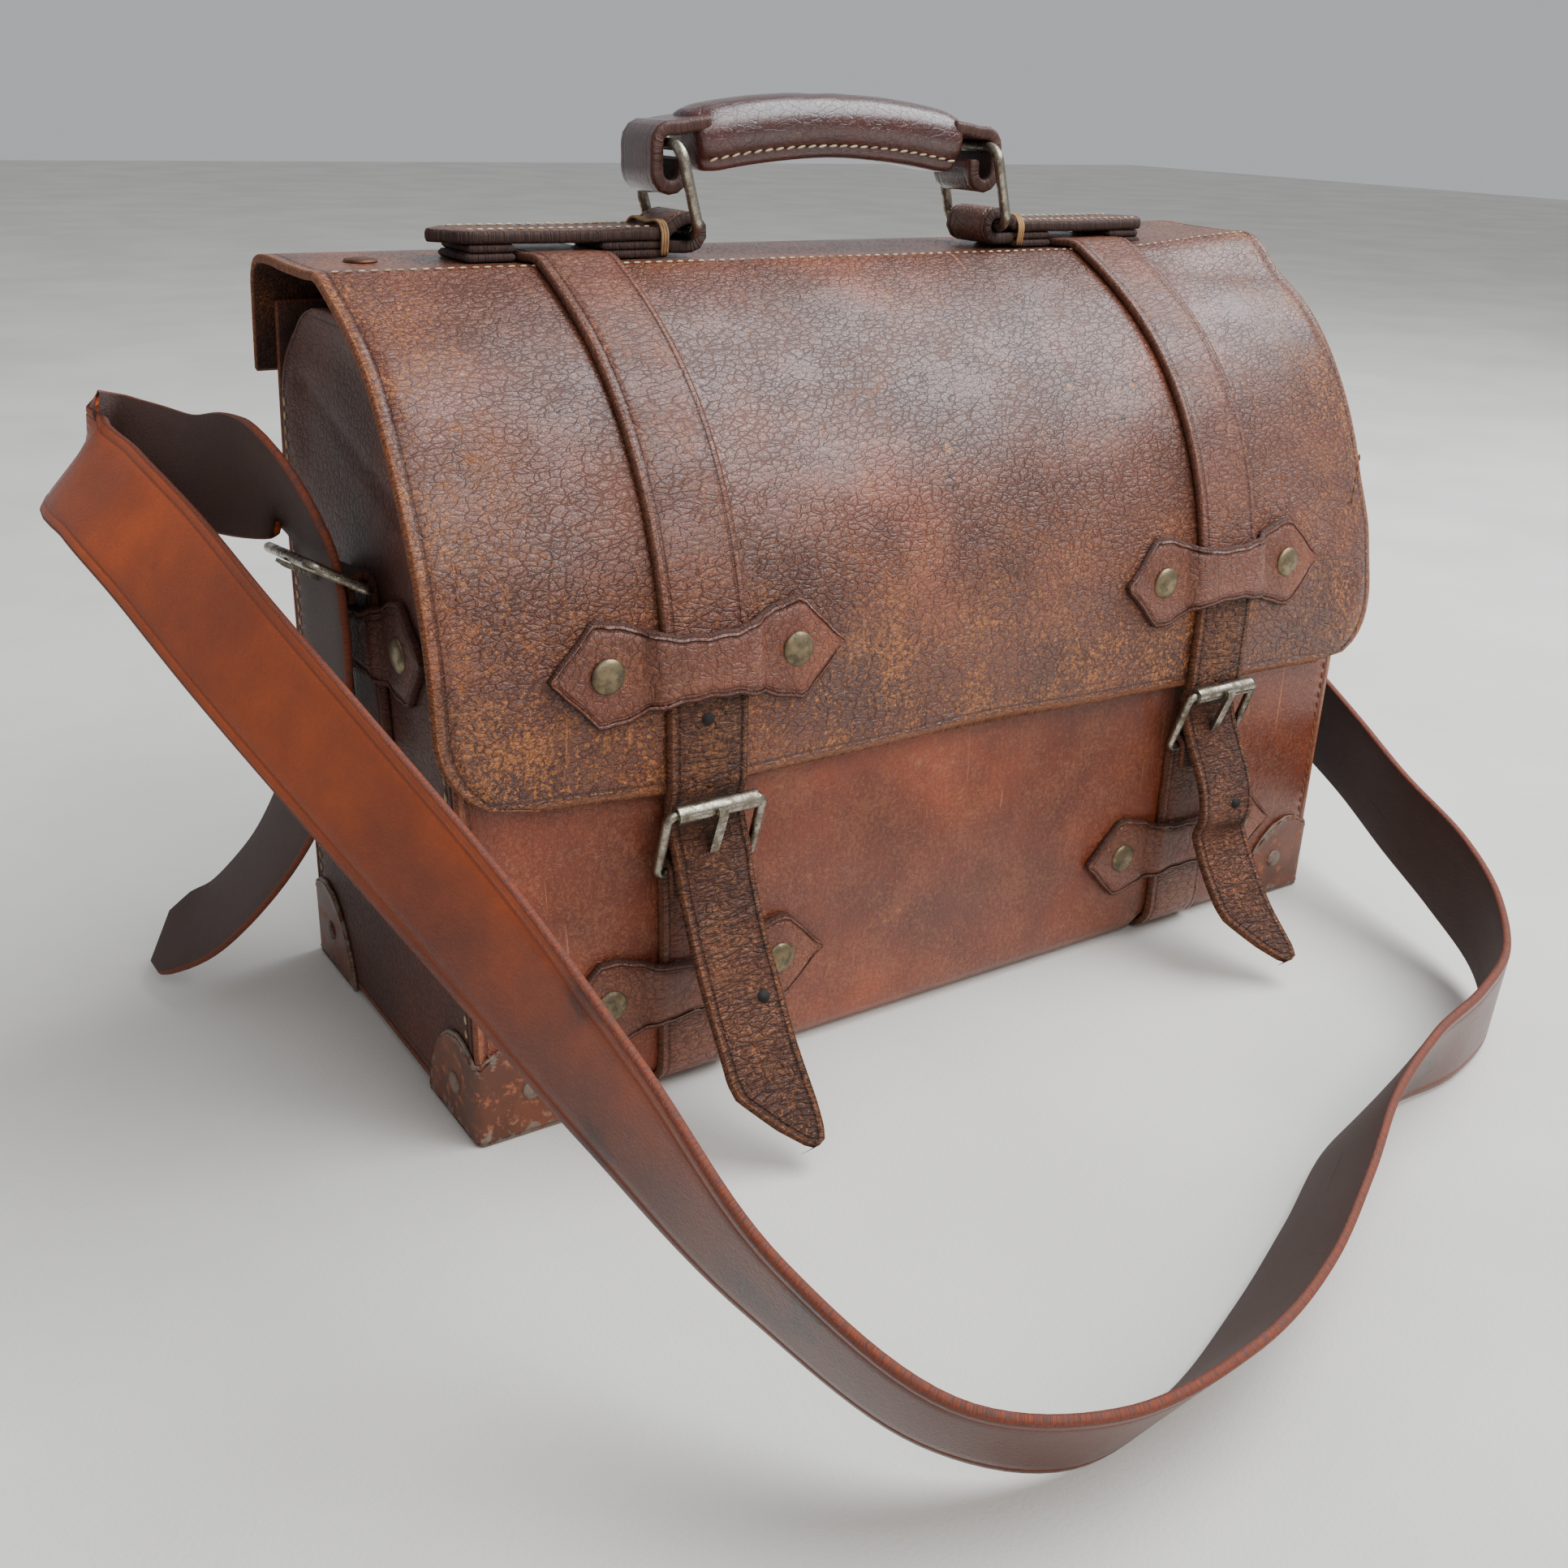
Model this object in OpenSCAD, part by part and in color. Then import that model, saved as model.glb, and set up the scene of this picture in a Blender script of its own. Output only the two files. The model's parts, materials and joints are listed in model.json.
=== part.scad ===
/* [Body] */
// Length of the body from end to end
bag_len = 400; // [320:5:480]
// Depth of the body at its base, front to back
bag_depth = 158; // [130:2:190]
// Height of the closed bag, floor to flap top
bag_height = 272; // [240:2:330]
// Thickness of the body leather
leather_t = 3; // [2:0.25:4]
// Radius of the lower front and back edges
edge_r = 10; // [8:1:16]
// How far the back leans in at the top
back_lean = 11; // [4:1:16]
// Height at which the back starts to lean in
lean_z = 150; // [120:5:170]
// Room left between the front panel and the flap
flap_stand = 3; // [2:0.5:6]

/* [Flap] */
// Thickness of the flap leather
flap_t = 3; // [2:0.25:4]
// How far the flap reaches past each end of the body
flap_over = 7; // [3:1:12]
// Height of the flap's front hem above the floor
hem_z = 117; // [112:1:130]
// Radius of the two lower corners of the flap
flap_corner_r = 28; // [15:1:40]
// Place of the bend at the front of the flat top, from the middle
top_front_y = -4; // [-10:1:10]
// Distance of the flap's hinge line from the outer back
hinge_back = 19; // [16:1:26]
// Length of the flap leather sewn down the back
back_drop = 40; // [30:1:60]

/* [Belts] */
// Width of the two belts that go round the bag
belt_w = 30; // [24:1:36]
// Thickness of the belt leather
belt_t = 3; // [2:0.25:4]
// Distance of each belt from the middle of the bag
belt_x = 118; // [90:1:125]
// Length of a belt keeper, tip to tip
keeper_len = 106; // [90:1:116]
// Height of a keeper at its two ends
keeper_end_h = 35; // [26:1:40]
// Height of a keeper over the belt
keeper_waist_h = 21; // [14:1:26]
// Thickness of the keeper leather
keeper_t = 2.5; // [2:0.25:3]
// Height of the upper keepers above the floor
upper_keeper_z = 159; // [150:1:165]
// Height of the lower keepers above the floor
lower_keeper_z = 41; // [36:1:50]

/* [Buckles] */
// Radius of the buckle wire
wire_r = 1.75; // [1.5:0.05:2.2]
// Outer radius of a roller
roller_r = 3.2; // [3:0.1:4]
// Height of the front buckles' lower bar
heel_z = 88; // [80:1:90]
// Height of the front buckles' roller
roller_z = 111.5; // [105:0.5:112]
// Width of a prong
prong_w = 3.6; // [3:0.1:4.5]

/* [Handle] */
// Distance between the two handle rings
ring_pitch = 140; // [120:2:160]
// Height between the lower and upper bars of a ring
ring_h = 30; // [26:1:36]
// Radius of the ring wire
ring_wire_r = 2; // [1.6:0.1:2.4]
// Width of the leather rolled round the rings
roll_w = 25; // [20:1:28]
// Outer radius of the leather roll round a ring
roll_r = 8; // [7:0.5:9]
// Lean of the rings as the handle stands
ring_lean = 15; // [0:1:20]
// Width of the padded grip
grip_w = 24; // [20:1:28]
// Height of the padded grip
grip_h = 17.5; // [15:0.5:20]
// Rise of the grip's arch
grip_rise = 6.5; // [4:0.5:10]
// Place of the handle from the middle, front to back
handle_y = 28; // [24:1:30]
// Distance of each chape's pointed end from the middle
chape_end = 161; // [155:1:170]

/* [Sides] */
// Height of the side buckles' lower bar
side_heel_z = 176; // [174:1:182]
// Height of the side keepers
side_keeper_z = 157; // [150:1:160]
// Place of the side straps from the middle, front to back
side_y = -3; // [-8:1:5]
// How far the side straps lean back, in degrees
side_turn = 6; // [0:1:10]
// Width of the shoulder strap
strap_w = 39; // [34:1:42]
// Thickness of the shoulder strap
strap_t = 3.2; // [2.5:0.1:4]

/* [Corner caps] */
// Thickness of the steel caps
cap_t = 1.2; // [0.8:0.1:1.6]
// Length of a cap's lobes along the edges
cap_len = 40; // [30:1:48]
// Height of a cap's lobes
cap_h = 31; // [25:1:40]

/* [Fits] */
// Space between pieces that lie on each other
seam = 0.1; // [0.05:0.05:0.3]
// Space round a wire in its leather or roller
play = 0.4; // [0.3:0.05:0.6]

/* [Hidden] */
$fn = 48;
LEATHER = "#6f3425";
DARK = "#3f2019";
METAL = "#a39a88";
BRASS = "#8f7a55";
PAINT = "#6b3a26";
THREAD = "#d9c9a0";
STRAP = "#8a4a22";

half_len = bag_len / 2;
half_dep = bag_depth / 2;
lip_z = cap_t + 2 * seam + leather_t;
lip_len = 11;
front_top_z = bag_height - 66;
flap_y = -(half_dep + flap_stand + flap_t);
hinge_y = half_dep - hinge_back;
flap_room = 2.6;
shank_r = 2;

// Curve through four control points
function bezier(a, b, c, d, n) = [for (i = [0:n]) let (t = i / n, u = 1 - t)
    u * u * u * a + 3 * u * u * t * b + 3 * u * t * t * c + t * t * t * d];
// Unit direction of a path at its point i
function heading(p, i) = let (v = p[min(i + 1, len(p) - 1)] - p[max(i - 1, 0)]) v / norm(v);
// Path moved sideways by d, to the left of its direction
function shifted(p, d) = [for (i = [0:len(p) - 1]) let (h = heading(p, i)) p[i] + d * [-h[1], h[0]]];
function reversed(p) = [for (i = [len(p) - 1:-1:0]) p[i]];
// Outer face of the back at a height
function back_y(z) = half_dep - back_lean * pow(max(0, z - lean_z) / (bag_height - lean_z), 2);
// Side outline of the flap's outer face, from the hem over the top to the hinge
flap_path = concat([[flap_y, hem_z], [flap_y, hem_z + 12]],
    bezier([flap_y, hem_z + 23], [flap_y + 2, bag_height - 57], [top_front_y - 41, bag_height - 22],
        [top_front_y + 8, bag_height], 22),
    [[top_front_y + 20, bag_height], [hinge_y - 0.3, bag_height]]);
function flap_at(z) = lookup(z, [for (i = [0:24]) [flap_path[i][1], flap_path[i][0]]]);
// The back corner of the flap leather and its drop, from the hinge downwards
corner_z = bag_height - 13;
function corner_path(off) = concat([[hinge_y, bag_height + off - flap_t - seam]],
    [for (a = [90:-15:0]) [hinge_y + 2 + (back_y(corner_z) + off - hinge_y - 2) * cos(a),
        corner_z + (bag_height - corner_z + off - flap_t - seam) * sin(a)]],
    [for (z = [corner_z - 8:-8:bag_height - back_drop]) [back_y(z) + off, z]]);
// Outer face of the front at a height: upright, then leaning in under the flap
function front_y(z) = max(-half_dep, flap_at(z) + flap_t + flap_room);
front_face = [for (z = [lip_z + edge_r:8:front_top_z]) [front_y(z), z]];

// A sheet of thickness t on the outer side of a side outline, w wide and centred on x
module sheet(path, t, w, x = 0) {
    along_x(w, x) polygon(concat(path, reversed(shifted(path, t))));
}
module along_x(w, x = 0) {
    translate([x - w / 2, 0, 0]) rotate([90, 0, 90]) linear_extrude(w) children();
}
module rod_x(r, w, x, y, z) {
    translate([x - w / 2, y, z]) rotate([0, 90, 0]) cylinder(r = r, h = w);
}
// Closed wire ring in the XY plane, w by h between wire centres
module wire_ring(w, h, corner, r) {
    for (k = [0:3]) {
        sx = (k == 0 || k == 3) ? 1 : -1;
        sy = k < 2 ? 1 : -1;
        translate([sx * (w / 2 - corner), sy * (h / 2 - corner), 0]) rotate([0, 0, 90 * k])
            rotate_extrude(angle = 90) translate([corner, 0]) circle(r);
    }
    for (s = [-1, 1]) {
        translate([-w / 2 + corner, s * h / 2, 0]) rotate([0, 90, 0]) cylinder(r = r, h = w - 2 * corner);
        translate([s * w / 2, -h / 2 + corner, 0]) rotate([-90, 0, 0]) cylinder(r = r, h = h - 2 * corner);
    }
}
// Rivet along +Z with its head's underside at z = 0, its shank reaching down and a washer at the end
module rivet(reach, washer_r = 4, head_r = 5.6, shank = shank_r) {
    rise = head_r * 0.28;
    translate([0, 0, -reach - 0.5]) cylinder(r = shank, h = reach + 1);
    rotate_extrude() polygon([[0, 0], [head_r, 0], [head_r, rise * 0.3], [head_r * 0.82, rise * 0.7],
        [head_r * 0.46, rise], [0, rise]]);
    translate([0, 0, -reach - 1]) cylinder(r = washer_r, h = 1);
}

// ---- body ----
module panel_outline() {
    polygon(concat([[-half_dep + lip_len + edge_r, lip_z]],
        [for (a = [270:-15:195]) [-half_dep + edge_r + edge_r * cos(a), lip_z + edge_r + edge_r * sin(a)]],
        front_face, reversed([for (p = front_face) [p[0] + leather_t, p[1]]]),
        [for (a = [195:15:270]) [-half_dep + edge_r + (edge_r - leather_t) * cos(a),
            lip_z + edge_r + (edge_r - leather_t) * sin(a)]],
        [[-half_dep + lip_len + edge_r, lip_z + leather_t]]));
}
keeper_rivet_x = keeper_len * 0.32;
module keeper_holes(z, y0, y1) {
    for (s = [-1, 1], k = [-1, 1]) translate([s * belt_x + k * keeper_rivet_x, y0, z])
        rotate([-90, 0, 0]) cylinder(r = shank_r + seam, h = y1 - y0);
}
module front_panel() {
    color(LEATHER) difference() {
        along_x(bag_len) panel_outline();
        keeper_holes(lower_keeper_z, -half_dep - 1, -half_dep + leather_t + 1);
        cap_holes();
    }
}
module back_panel() {
    top = corner_z - 2;
    outer = [for (z = [lip_z + edge_r + 10:10:top]) [back_y(z), z]];
    color(LEATHER) difference() {
        along_x(bag_len) polygon(concat([[half_dep - lip_len - edge_r, lip_z]],
            [for (a = [270:15:360]) [half_dep - edge_r + edge_r * cos(a), lip_z + edge_r + edge_r * sin(a)]],
            outer, [[back_y(top), top], [back_y(top) - leather_t, top]],
            reversed([for (p = outer) [p[0] - leather_t, p[1]]]),
            [for (a = [360:-15:270]) [half_dep - edge_r + (edge_r - leather_t) * cos(a),
                lip_z + edge_r + (edge_r - leather_t) * sin(a)]],
            [[half_dep - lip_len - edge_r, lip_z + leather_t]]));
        cap_holes();
    }
}
// The bottom rests on the floor between the belts, steps over each belt and over the caps' flanges
channel = belt_w / 2 + 1.5;
module bottom_panel() {
    inner_y = half_dep - edge_r - 1;
    chan_y = half_dep - lip_len - edge_r - seam;
    over = cap_t + seam;
    color(LEATHER) difference() {
        union() {
            translate([-belt_x + channel, -inner_y, 0])
                cube([2 * (belt_x - channel), 2 * inner_y, leather_t]);
            for (s = [-1, 1]) {
                translate([s * (half_len + belt_x + channel) / 2, 0, over + leather_t / 2])
                    cube([half_len - belt_x - channel, 2 * inner_y, leather_t], center = true);
                translate([s * belt_x, 0, belt_t + seam + leather_t / 2])
                    cube([2 * channel + 2 * leather_t, 2 * chan_y, leather_t], center = true);
                for (k = [-1, 1]) translate([s * belt_x + k * (channel + leather_t / 2), 0,
                    over + (belt_t + seam + leather_t - over) / 2])
                    cube([leather_t, 2 * chan_y, belt_t + seam + leather_t - over], center = true);
            }
        }
        cap_holes();
    }
}
// End panel: its ear follows the flap's curve from below
module gusset(s) {
    inner_f = -half_dep + leather_t + seam;
    inner_b = half_dep - leather_t - seam;
    low = lip_z + leather_t + seam;
    tongue = half_dep - lip_len - edge_r - seam;
    arch = edge_r - leather_t;
    ear = bag_height - 12;
    outline = concat([[tongue, lip_z + seam], [-tongue, lip_z + seam], [-tongue, low]],
        [for (a = [270:-18:180]) [inner_f + arch + arch * cos(a), low + arch + arch * sin(a)]],
        bezier([inner_f, bag_height - 130], [inner_f, bag_height - 76], [-40, ear - 23], [0, ear], 12),
        bezier([12, ear], [38, ear], [back_y(ear - 8) - leather_t - seam, ear - 10],
            [back_y(ear - 40) - leather_t - seam, ear - 40], 8),
        [for (z = [ear - 60:-20:lean_z - 10]) [back_y(z) - leather_t - seam, z]],
        [for (a = [360:-18:270]) [inner_b - arch + arch * cos(a), low + arch + arch * sin(a)]],
        [[tongue, low]]);
    color(LEATHER) difference() {
        along_x(leather_t, s * (half_len - leather_t / 2)) polygon(outline);
        cap_holes();
        side_frame(s) for (k = [-1, 1]) translate([k * keeper_rivet_x, -10, side_keeper_z])
            rotate([-90, 0, 0]) cylinder(r = shank_r + seam, h = 20);
    }
}
module gusset_left() { gusset(-1); }
module gusset_right() { gusset(1); }

// ---- flap ----
flap_len = bag_len + 2 * flap_over;
stiff_t = 4;
stiff_y = (hinge_y + top_front_y + 8) / 2;
stiff_rivet_x = half_len - 18;
module flap_root() {
    p = corner_path(flap_t + seam);
    color(LEATHER) along_x(flap_len) polygon(concat(p, reversed(shifted(p, -flap_t))));
}
module flap_blank() {
    r = flap_corner_r;
    w = flap_len;
    translate([0, -half_dep * 2, 0]) rotate([-90, 0, 0]) mirror([0, 1, 0]) linear_extrude(half_dep * 4) union() {
        translate([-w / 2 + r, hem_z]) square([w - 2 * r, r + 1]);
        translate([-w / 2, hem_z + r]) square([w, bag_height]);
        for (s = [-1, 1]) translate([s * (w / 2 - r), hem_z + r]) circle(r);
    }
}
module flap() {
    color(LEATHER) difference() {
        intersection() {
            sheet(shifted(flap_path, -flap_t), flap_t, flap_len);
            flap_blank();
        }
        keeper_holes(upper_keeper_z, -half_dep * 2, 0);
        for (s = [-1, 1]) translate([s * stiff_rivet_x, stiff_y, bag_height - 10])
            cylinder(r = shank_r + seam, h = 20);
    }
}
module top_stiffener() {
    w = hinge_y - top_front_y - 14;
    z = bag_height - flap_t - seam - stiff_t;
    color(DARK) difference() {
        translate([-half_len + 8, stiff_y - w / 2, z]) cube([bag_len - 16, w, stiff_t]);
        for (s = [-1, 1]) translate([s * stiff_rivet_x, stiff_y, z - 1]) cylinder(r = shank_r + seam, h = 20);
    }
}
module stiffener_rivets() {
    color(BRASS) for (s = [-1, 1]) translate([s * stiff_rivet_x, stiff_y, bag_height + seam])
        rivet(flap_t + stiff_t + 3 * seam);
}

// ---- belts, front buckles and keepers ----
heel_r = wire_r + play;
loop_r = heel_r + belt_t;
heel_y = -(half_dep + seam + loop_r);
roller_y = flap_y - seam - belt_t - play - roller_r;
// Outline of a belt's inner face, from the hinge down the back, under the bag and up the front
belt_path = concat(
    [for (p = corner_path(flap_t + 2 * seam)) if (p[1] > corner_z - 26 && p[0] > hinge_y + 6) p],
    [for (z = [corner_z - 30:-6:30]) [back_y(z) + seam + (flap_t + seam) * min(1, max(0, (z - 200) / 26)), z]],
    [for (a = [0:-15:-90]) [half_dep + seam - edge_r + edge_r * cos(a), belt_t + edge_r + edge_r * sin(a)]],
    [for (a = [270:-15:180]) [-half_dep - seam + edge_r + edge_r * cos(a), belt_t + edge_r + edge_r * sin(a)]],
    [[-half_dep - seam, heel_z]]);
module belt(s) {
    color(LEATHER) difference() {
        union() {
            sheet(belt_path, belt_t, belt_w, s * belt_x);
            rod_x(loop_r, belt_w, s * belt_x, heel_y, heel_z);
        }
        rod_x(heel_r, belt_w + 2, s * belt_x, heel_y, heel_z);
        translate([s * belt_x - prong_w / 2 - 1, heel_y - loop_r - 1, heel_z - loop_r - 1])
            cube([prong_w + 2, 2 * loop_r + 0.7, 2 * loop_r + 2]);
    }
}
module belt_left() { belt(-1); }
module belt_right() { belt(1); }
// The part of each belt on the flap, from under the upper keeper to the hinge
module flap_strap(s) {
    path = shifted([for (p = flap_path) if (p[1] > upper_keeper_z || p[0] > 0) p], seam);
    start = [flap_at(upper_keeper_z) - seam, upper_keeper_z];
    color(LEATHER) sheet(concat([start], path), belt_t, belt_w, s * belt_x);
}
module flap_strap_left() { flap_strap(-1); }
module flap_strap_right() { flap_strap(1); }
// Free end of each belt through its buckle; the points are its inner face from the roller to the tip
tail_left_fall = [[-2.6, -18], [-6.2, -29], [-11.5, -40], [-20, -54], [-31, -70], [-43, -87], [-58, -104]];
tail_right_fall = [[-3.5, -19], [-9.5, -29], [-13.5, -38], [-14.5, -46], [-12.5, -53], [-17, -61], [-31, -78],
    [-53, -99]];
module strap_tail(s, fall) {
    pass = [[flap_y - seam, hem_z + 2], [flap_y - seam, roller_z + 0.5],
        [heel_y - loop_r - play + 3.4, roller_z - 9]];
    down = [for (q = fall) [heel_y - loop_r - play + 3.2 + q[0], roller_z + q[1]]];
    up = [for (z = [upper_keeper_z - 0.3:-8:hem_z + 4]) [flap_at(z) - seam, z]];
    path = reversed(concat(up, pass, down));
    tip = down[len(down) - 1];
    color(LEATHER) difference() {
        sheet(path, belt_t, belt_w - 1, s * belt_x);
        translate([s * belt_x - prong_w / 2 - 1, heel_y - 16, heel_z + 1]) cube([prong_w + 2, 20, 20]);
        translate([s * belt_x, tip[0], tip[1]]) rotate([-40, 0, 0]) for (k = [-1, 1])
            translate([k * belt_w / 2, 0, -2]) rotate([0, k * 40, 0]) cube([14, 30, 30], center = true);
    }
}
module strap_tail_left() { strap_tail(-1, tail_left_fall); }
module strap_tail_right() { strap_tail(1, tail_right_fall); }

// Bow-tie outline with pointed ends, in its own XY plane
module keeper_outline() {
    l = keeper_len / 2;
    e = keeper_end_h / 2;
    w = keeper_waist_h / 2;
    half = concat([[-l, 0], [-l + 16, e], [-l + 24, e * 0.94]],
        [for (x = [-0.9:0.15:0.9]) [x * (l - 26), w + (e * 0.9 - w) * x * x]],
        [[l - 24, e * 0.94], [l - 16, e]]);
    polygon(concat(half, [[l, 0]], reversed([for (p = half) if (p[0] > -l) [p[0], -p[1]]])));
}
// Keeper lying on a side outline and stepping over a belt under it
module keeper(path, x, z) {
    over = belt_w / 2 + 0.6;
    rise = belt_t + 3 * seam;
    difference() {
        intersection() {
            translate([x, -half_dep * 2, z]) rotate([-90, 0, 0]) linear_extrude(half_dep * 2 + 10)
                keeper_outline();
            union() {
                for (k = [-1, 1]) {
                    sheet(shifted(path, seam), keeper_t, keeper_len / 2 - over, x + k * (keeper_len / 4 + over / 2));
                    sheet(shifted(path, seam), rise + keeper_t, keeper_t, x + k * (over + keeper_t / 2));
                }
                sheet(shifted(path, seam + rise), keeper_t, 2 * over + 1, x);
            }
        }
        for (k = [-1, 1]) translate([x + k * keeper_rivet_x, -half_dep * 2, z]) rotate([-90, 0, 0])
            cylinder(r = shank_r + seam, h = half_dep * 2);
    }
}
near_flap = [for (p = flap_path) if (p[0] < -40) p];
module upper_keeper_left() { color(LEATHER) keeper(near_flap, -belt_x, upper_keeper_z); }
module upper_keeper_right() { color(LEATHER) keeper(near_flap, belt_x, upper_keeper_z); }
module lower_keeper_left() { color(LEATHER) keeper(front_face, -belt_x, lower_keeper_z); }
module lower_keeper_right() { color(LEATHER) keeper(front_face, belt_x, lower_keeper_z); }
module upper_keeper_rivets() {
    color(BRASS) for (s = [-1, 1], k = [-1, 1])
        translate([s * belt_x + k * keeper_rivet_x, flap_at(upper_keeper_z) - keeper_t - 1, upper_keeper_z])
            rotate([90, 0, 0]) rivet(keeper_t + flap_t + 1.7, 3.5);
}
module lower_keeper_rivets() {
    color(BRASS) for (s = [-1, 1], k = [-1, 1])
        translate([s * belt_x + k * keeper_rivet_x, -half_dep - keeper_t - 2 * seam, lower_keeper_z])
            rotate([90, 0, 0]) rivet(keeper_t + leather_t + 3 * seam);
}
// Buckle frame between the heel bar and the roller bar
buckle_w = belt_w + 6;
bend_r = 2.6;
frame_h = round(10 * norm([roller_y - heel_y, roller_z - heel_z])) / 10;
frame_tilt = asin((heel_y - roller_y) / frame_h);
roller_at = heel_z + frame_h * cos(frame_tilt);
module buckle_frame(s) {
    color(METAL) translate([s * belt_x, heel_y, heel_z]) rotate([frame_tilt, 0, 0]) translate([0, 0, frame_h / 2])
        rotate([90, 0, 0]) wire_ring(buckle_w, frame_h, bend_r, wire_r);
}
module buckle_frame_left() { buckle_frame(-1); }
module buckle_frame_right() { buckle_frame(1); }
module roller(s) {
    w = buckle_w - 2 * bend_r - 0.4;
    color(METAL) difference() {
        rod_x(roller_r, w, s * belt_x, roller_y, roller_at);
        rod_x(wire_r + 0.1, w + 2, s * belt_x, roller_y, roller_at);
    }
}
module roller_left() { roller(-1); }
module roller_right() { roller(1); }
// Prong in a side view: from the heel bar at the origin to a tip that lies on the bar at [dy, dz]
module prong_shape(dy, dz, rest_r) {
    t = 1.8;
    u = [dy, dz] / norm([dy, dz]);
    out = [-u[1], u[0]];
    base = out * (wire_r + 0.2);
    tip = [dy, dz] + out * (rest_r + 0.3);
    end = tip + u * 2.5;
    difference() {
        union() {
            circle(wire_r + 2);
            polygon([base, tip, end, end + out * (t - 0.6), tip + out * t, base + out * t]);
        }
        circle(wire_r + 0.15);
    }
}
module prong(s) {
    color(METAL) translate([0, heel_y, heel_z]) along_x(prong_w, s * belt_x)
        prong_shape(roller_y - heel_y, roller_at - heel_z, roller_r);
}
module prong_left() { prong(-1); }
module prong_right() { prong(1); }

// ---- handle ----
ring_low_z = bag_height + 0.3 + roll_r;
ring_top_z = ring_low_z + ring_h * cos(ring_lean);
ring_shift = ring_h * sin(ring_lean);
ring_mid_x = 3;
ring_play = 0.4;
ring_w = roll_w + 11;
ring_bend = 5;
function ring_x(s) = ring_mid_x + s * ring_pitch / 2;
module ring(s) {
    color(METAL) translate([ring_x(s), handle_y, ring_low_z]) rotate([0, -ring_lean, 0]) translate([0, 0, ring_h / 2])
        rotate([0, 90, 0]) wire_ring(ring_h, ring_w, ring_bend, ring_wire_r);
}
module ring_left() { ring(-1); }
module ring_right() { ring(1); }
block_t = 5.6;
plate_t = 4;
plate_z = bag_height + block_t + 3 * seam;
// Chape: a doubled leather rolled round the ring, with a pointed outer end, over two blocks
module chape(x0) {
    low_a = asin((ring_low_z - plate_z) / roll_r);
    side = concat([for (a = [50:20:340 - low_a]) [x0 + roll_r * cos(a), ring_low_z + roll_r * sin(a)]],
        [[x0 + roll_r * cos(low_a), plate_z], [chape_end, plate_z], [chape_end, plate_z + plate_t],
            [x0 + 16, plate_z + plate_t]]);
    color(DARK) intersection() {
        translate([0, handle_y + roll_w / 2, 0]) rotate([90, 0, 0]) linear_extrude(roll_w) difference() {
            polygon(side);
            translate([x0, ring_low_z]) circle(ring_wire_r + ring_play);
        }
        translate([0, handle_y, bag_height - 10]) linear_extrude(60) polygon([[x0 - roll_r - 1, -roll_w / 2],
            [chape_end - 9, -roll_w / 2], [chape_end, 0], [chape_end - 9, roll_w / 2],
            [x0 - roll_r - 1, roll_w / 2]]);
    }
}
module chape_left() { mirror([1, 0, 0]) chape(-ring_x(-1)); }
module chape_right() { chape(ring_x(1)); }
// Filler blocks under each chape, one on each side of the belt
module chape_blocks() {
    gap = belt_w / 2 + 1;
    color(DARK) for (s = [-1, 1]) {
        near = s * ring_x(s) + roll_r + 0.8;
        for (r = [[near, belt_x - gap], [belt_x + gap, chape_end - 11]])
            translate([s > 0 ? r[0] : -r[1], handle_y - roll_w / 2, bag_height + seam])
                cube([r[1] - r[0], roll_w, block_t]);
    }
}
module thread_wraps() {
    color(THREAD) for (s = [-1, 1]) {
        x = s * (s * ring_x(s) + roll_r + 9);
        top = plate_z + plate_t + 0.5;
        translate([x, handle_y, bag_height + 0.4]) for (k = [-1, 1])
            translate([0, k * (roll_w / 2 + 0.6), 0]) cylinder(r = 0.5, h = top - bag_height - 0.1);
        translate([x, handle_y - roll_w / 2 - 1.1, top + 0.2]) rotate([-90, 0, 0]) cylinder(r = 0.5, h = roll_w + 2.2);
    }
}
handle_x = ring_mid_x - ring_shift;
grip_len = ring_pitch - 2 * roll_r - 1;
arch_r = (grip_len * grip_len / 4 + grip_rise * grip_rise) / (2 * grip_rise);
arch_a = asin(grip_len / 2 / arch_r);
core_t = 5;
core_w = 17;
loop_drop = 9;
module arched(a) {
    translate([handle_x, handle_y, ring_top_z + grip_rise - arch_r]) rotate([90, 0, 0]) rotate([0, 0, 90 - a])
        rotate_extrude(angle = 2 * a, $fn = 96) children();
}
module handle_core() {
    color(DARK) {
        difference() {
            union() {
                arched(arch_a + 0.9) translate([arch_r - core_t / 2, -core_w / 2]) square([core_t, core_w]);
                for (s = [-1, 1]) translate([handle_x + s * ring_pitch / 2, handle_y + roll_w / 2, ring_top_z])
                    rotate([90, 0, 0]) linear_extrude(roll_w) union() {
                        circle(roll_r);
                        translate([0, -loop_drop]) circle(roll_r);
                        translate([-roll_r, -loop_drop]) square([2 * roll_r, loop_drop]);
                    }
            }
            for (s = [-1, 1]) translate([handle_x + s * ring_pitch / 2, handle_y + roll_w, ring_top_z])
                rotate([90, 0, 0]) linear_extrude(2 * roll_w) union() {
                    circle(ring_wire_r + ring_play);
                    translate([0, -loop_drop]) circle(ring_wire_r + ring_play);
                    translate([-ring_wire_r - ring_play, -loop_drop]) square([2 * (ring_wire_r + ring_play), loop_drop]);
                }
        }
    }
}
module handle_grip() {
    a = asin((grip_len / 2 - 2.4) / arch_r);
    color(DARK) arched(a) difference() {
        polygon([for (k = [0:23]) [arch_r + grip_h / 2 * sin(15 * k), grip_w / 2 * cos(15 * k)]]);
        translate([arch_r - core_t / 2 - play, -core_w / 2 - play]) square([core_t + 2 * play, core_w + 2 * play]);
    }
}

// ---- sides ----
side_buckle_w = strap_w + 6;
side_frame_h = 21;
side_low_z = 122;
side_tilt = 60;
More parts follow.
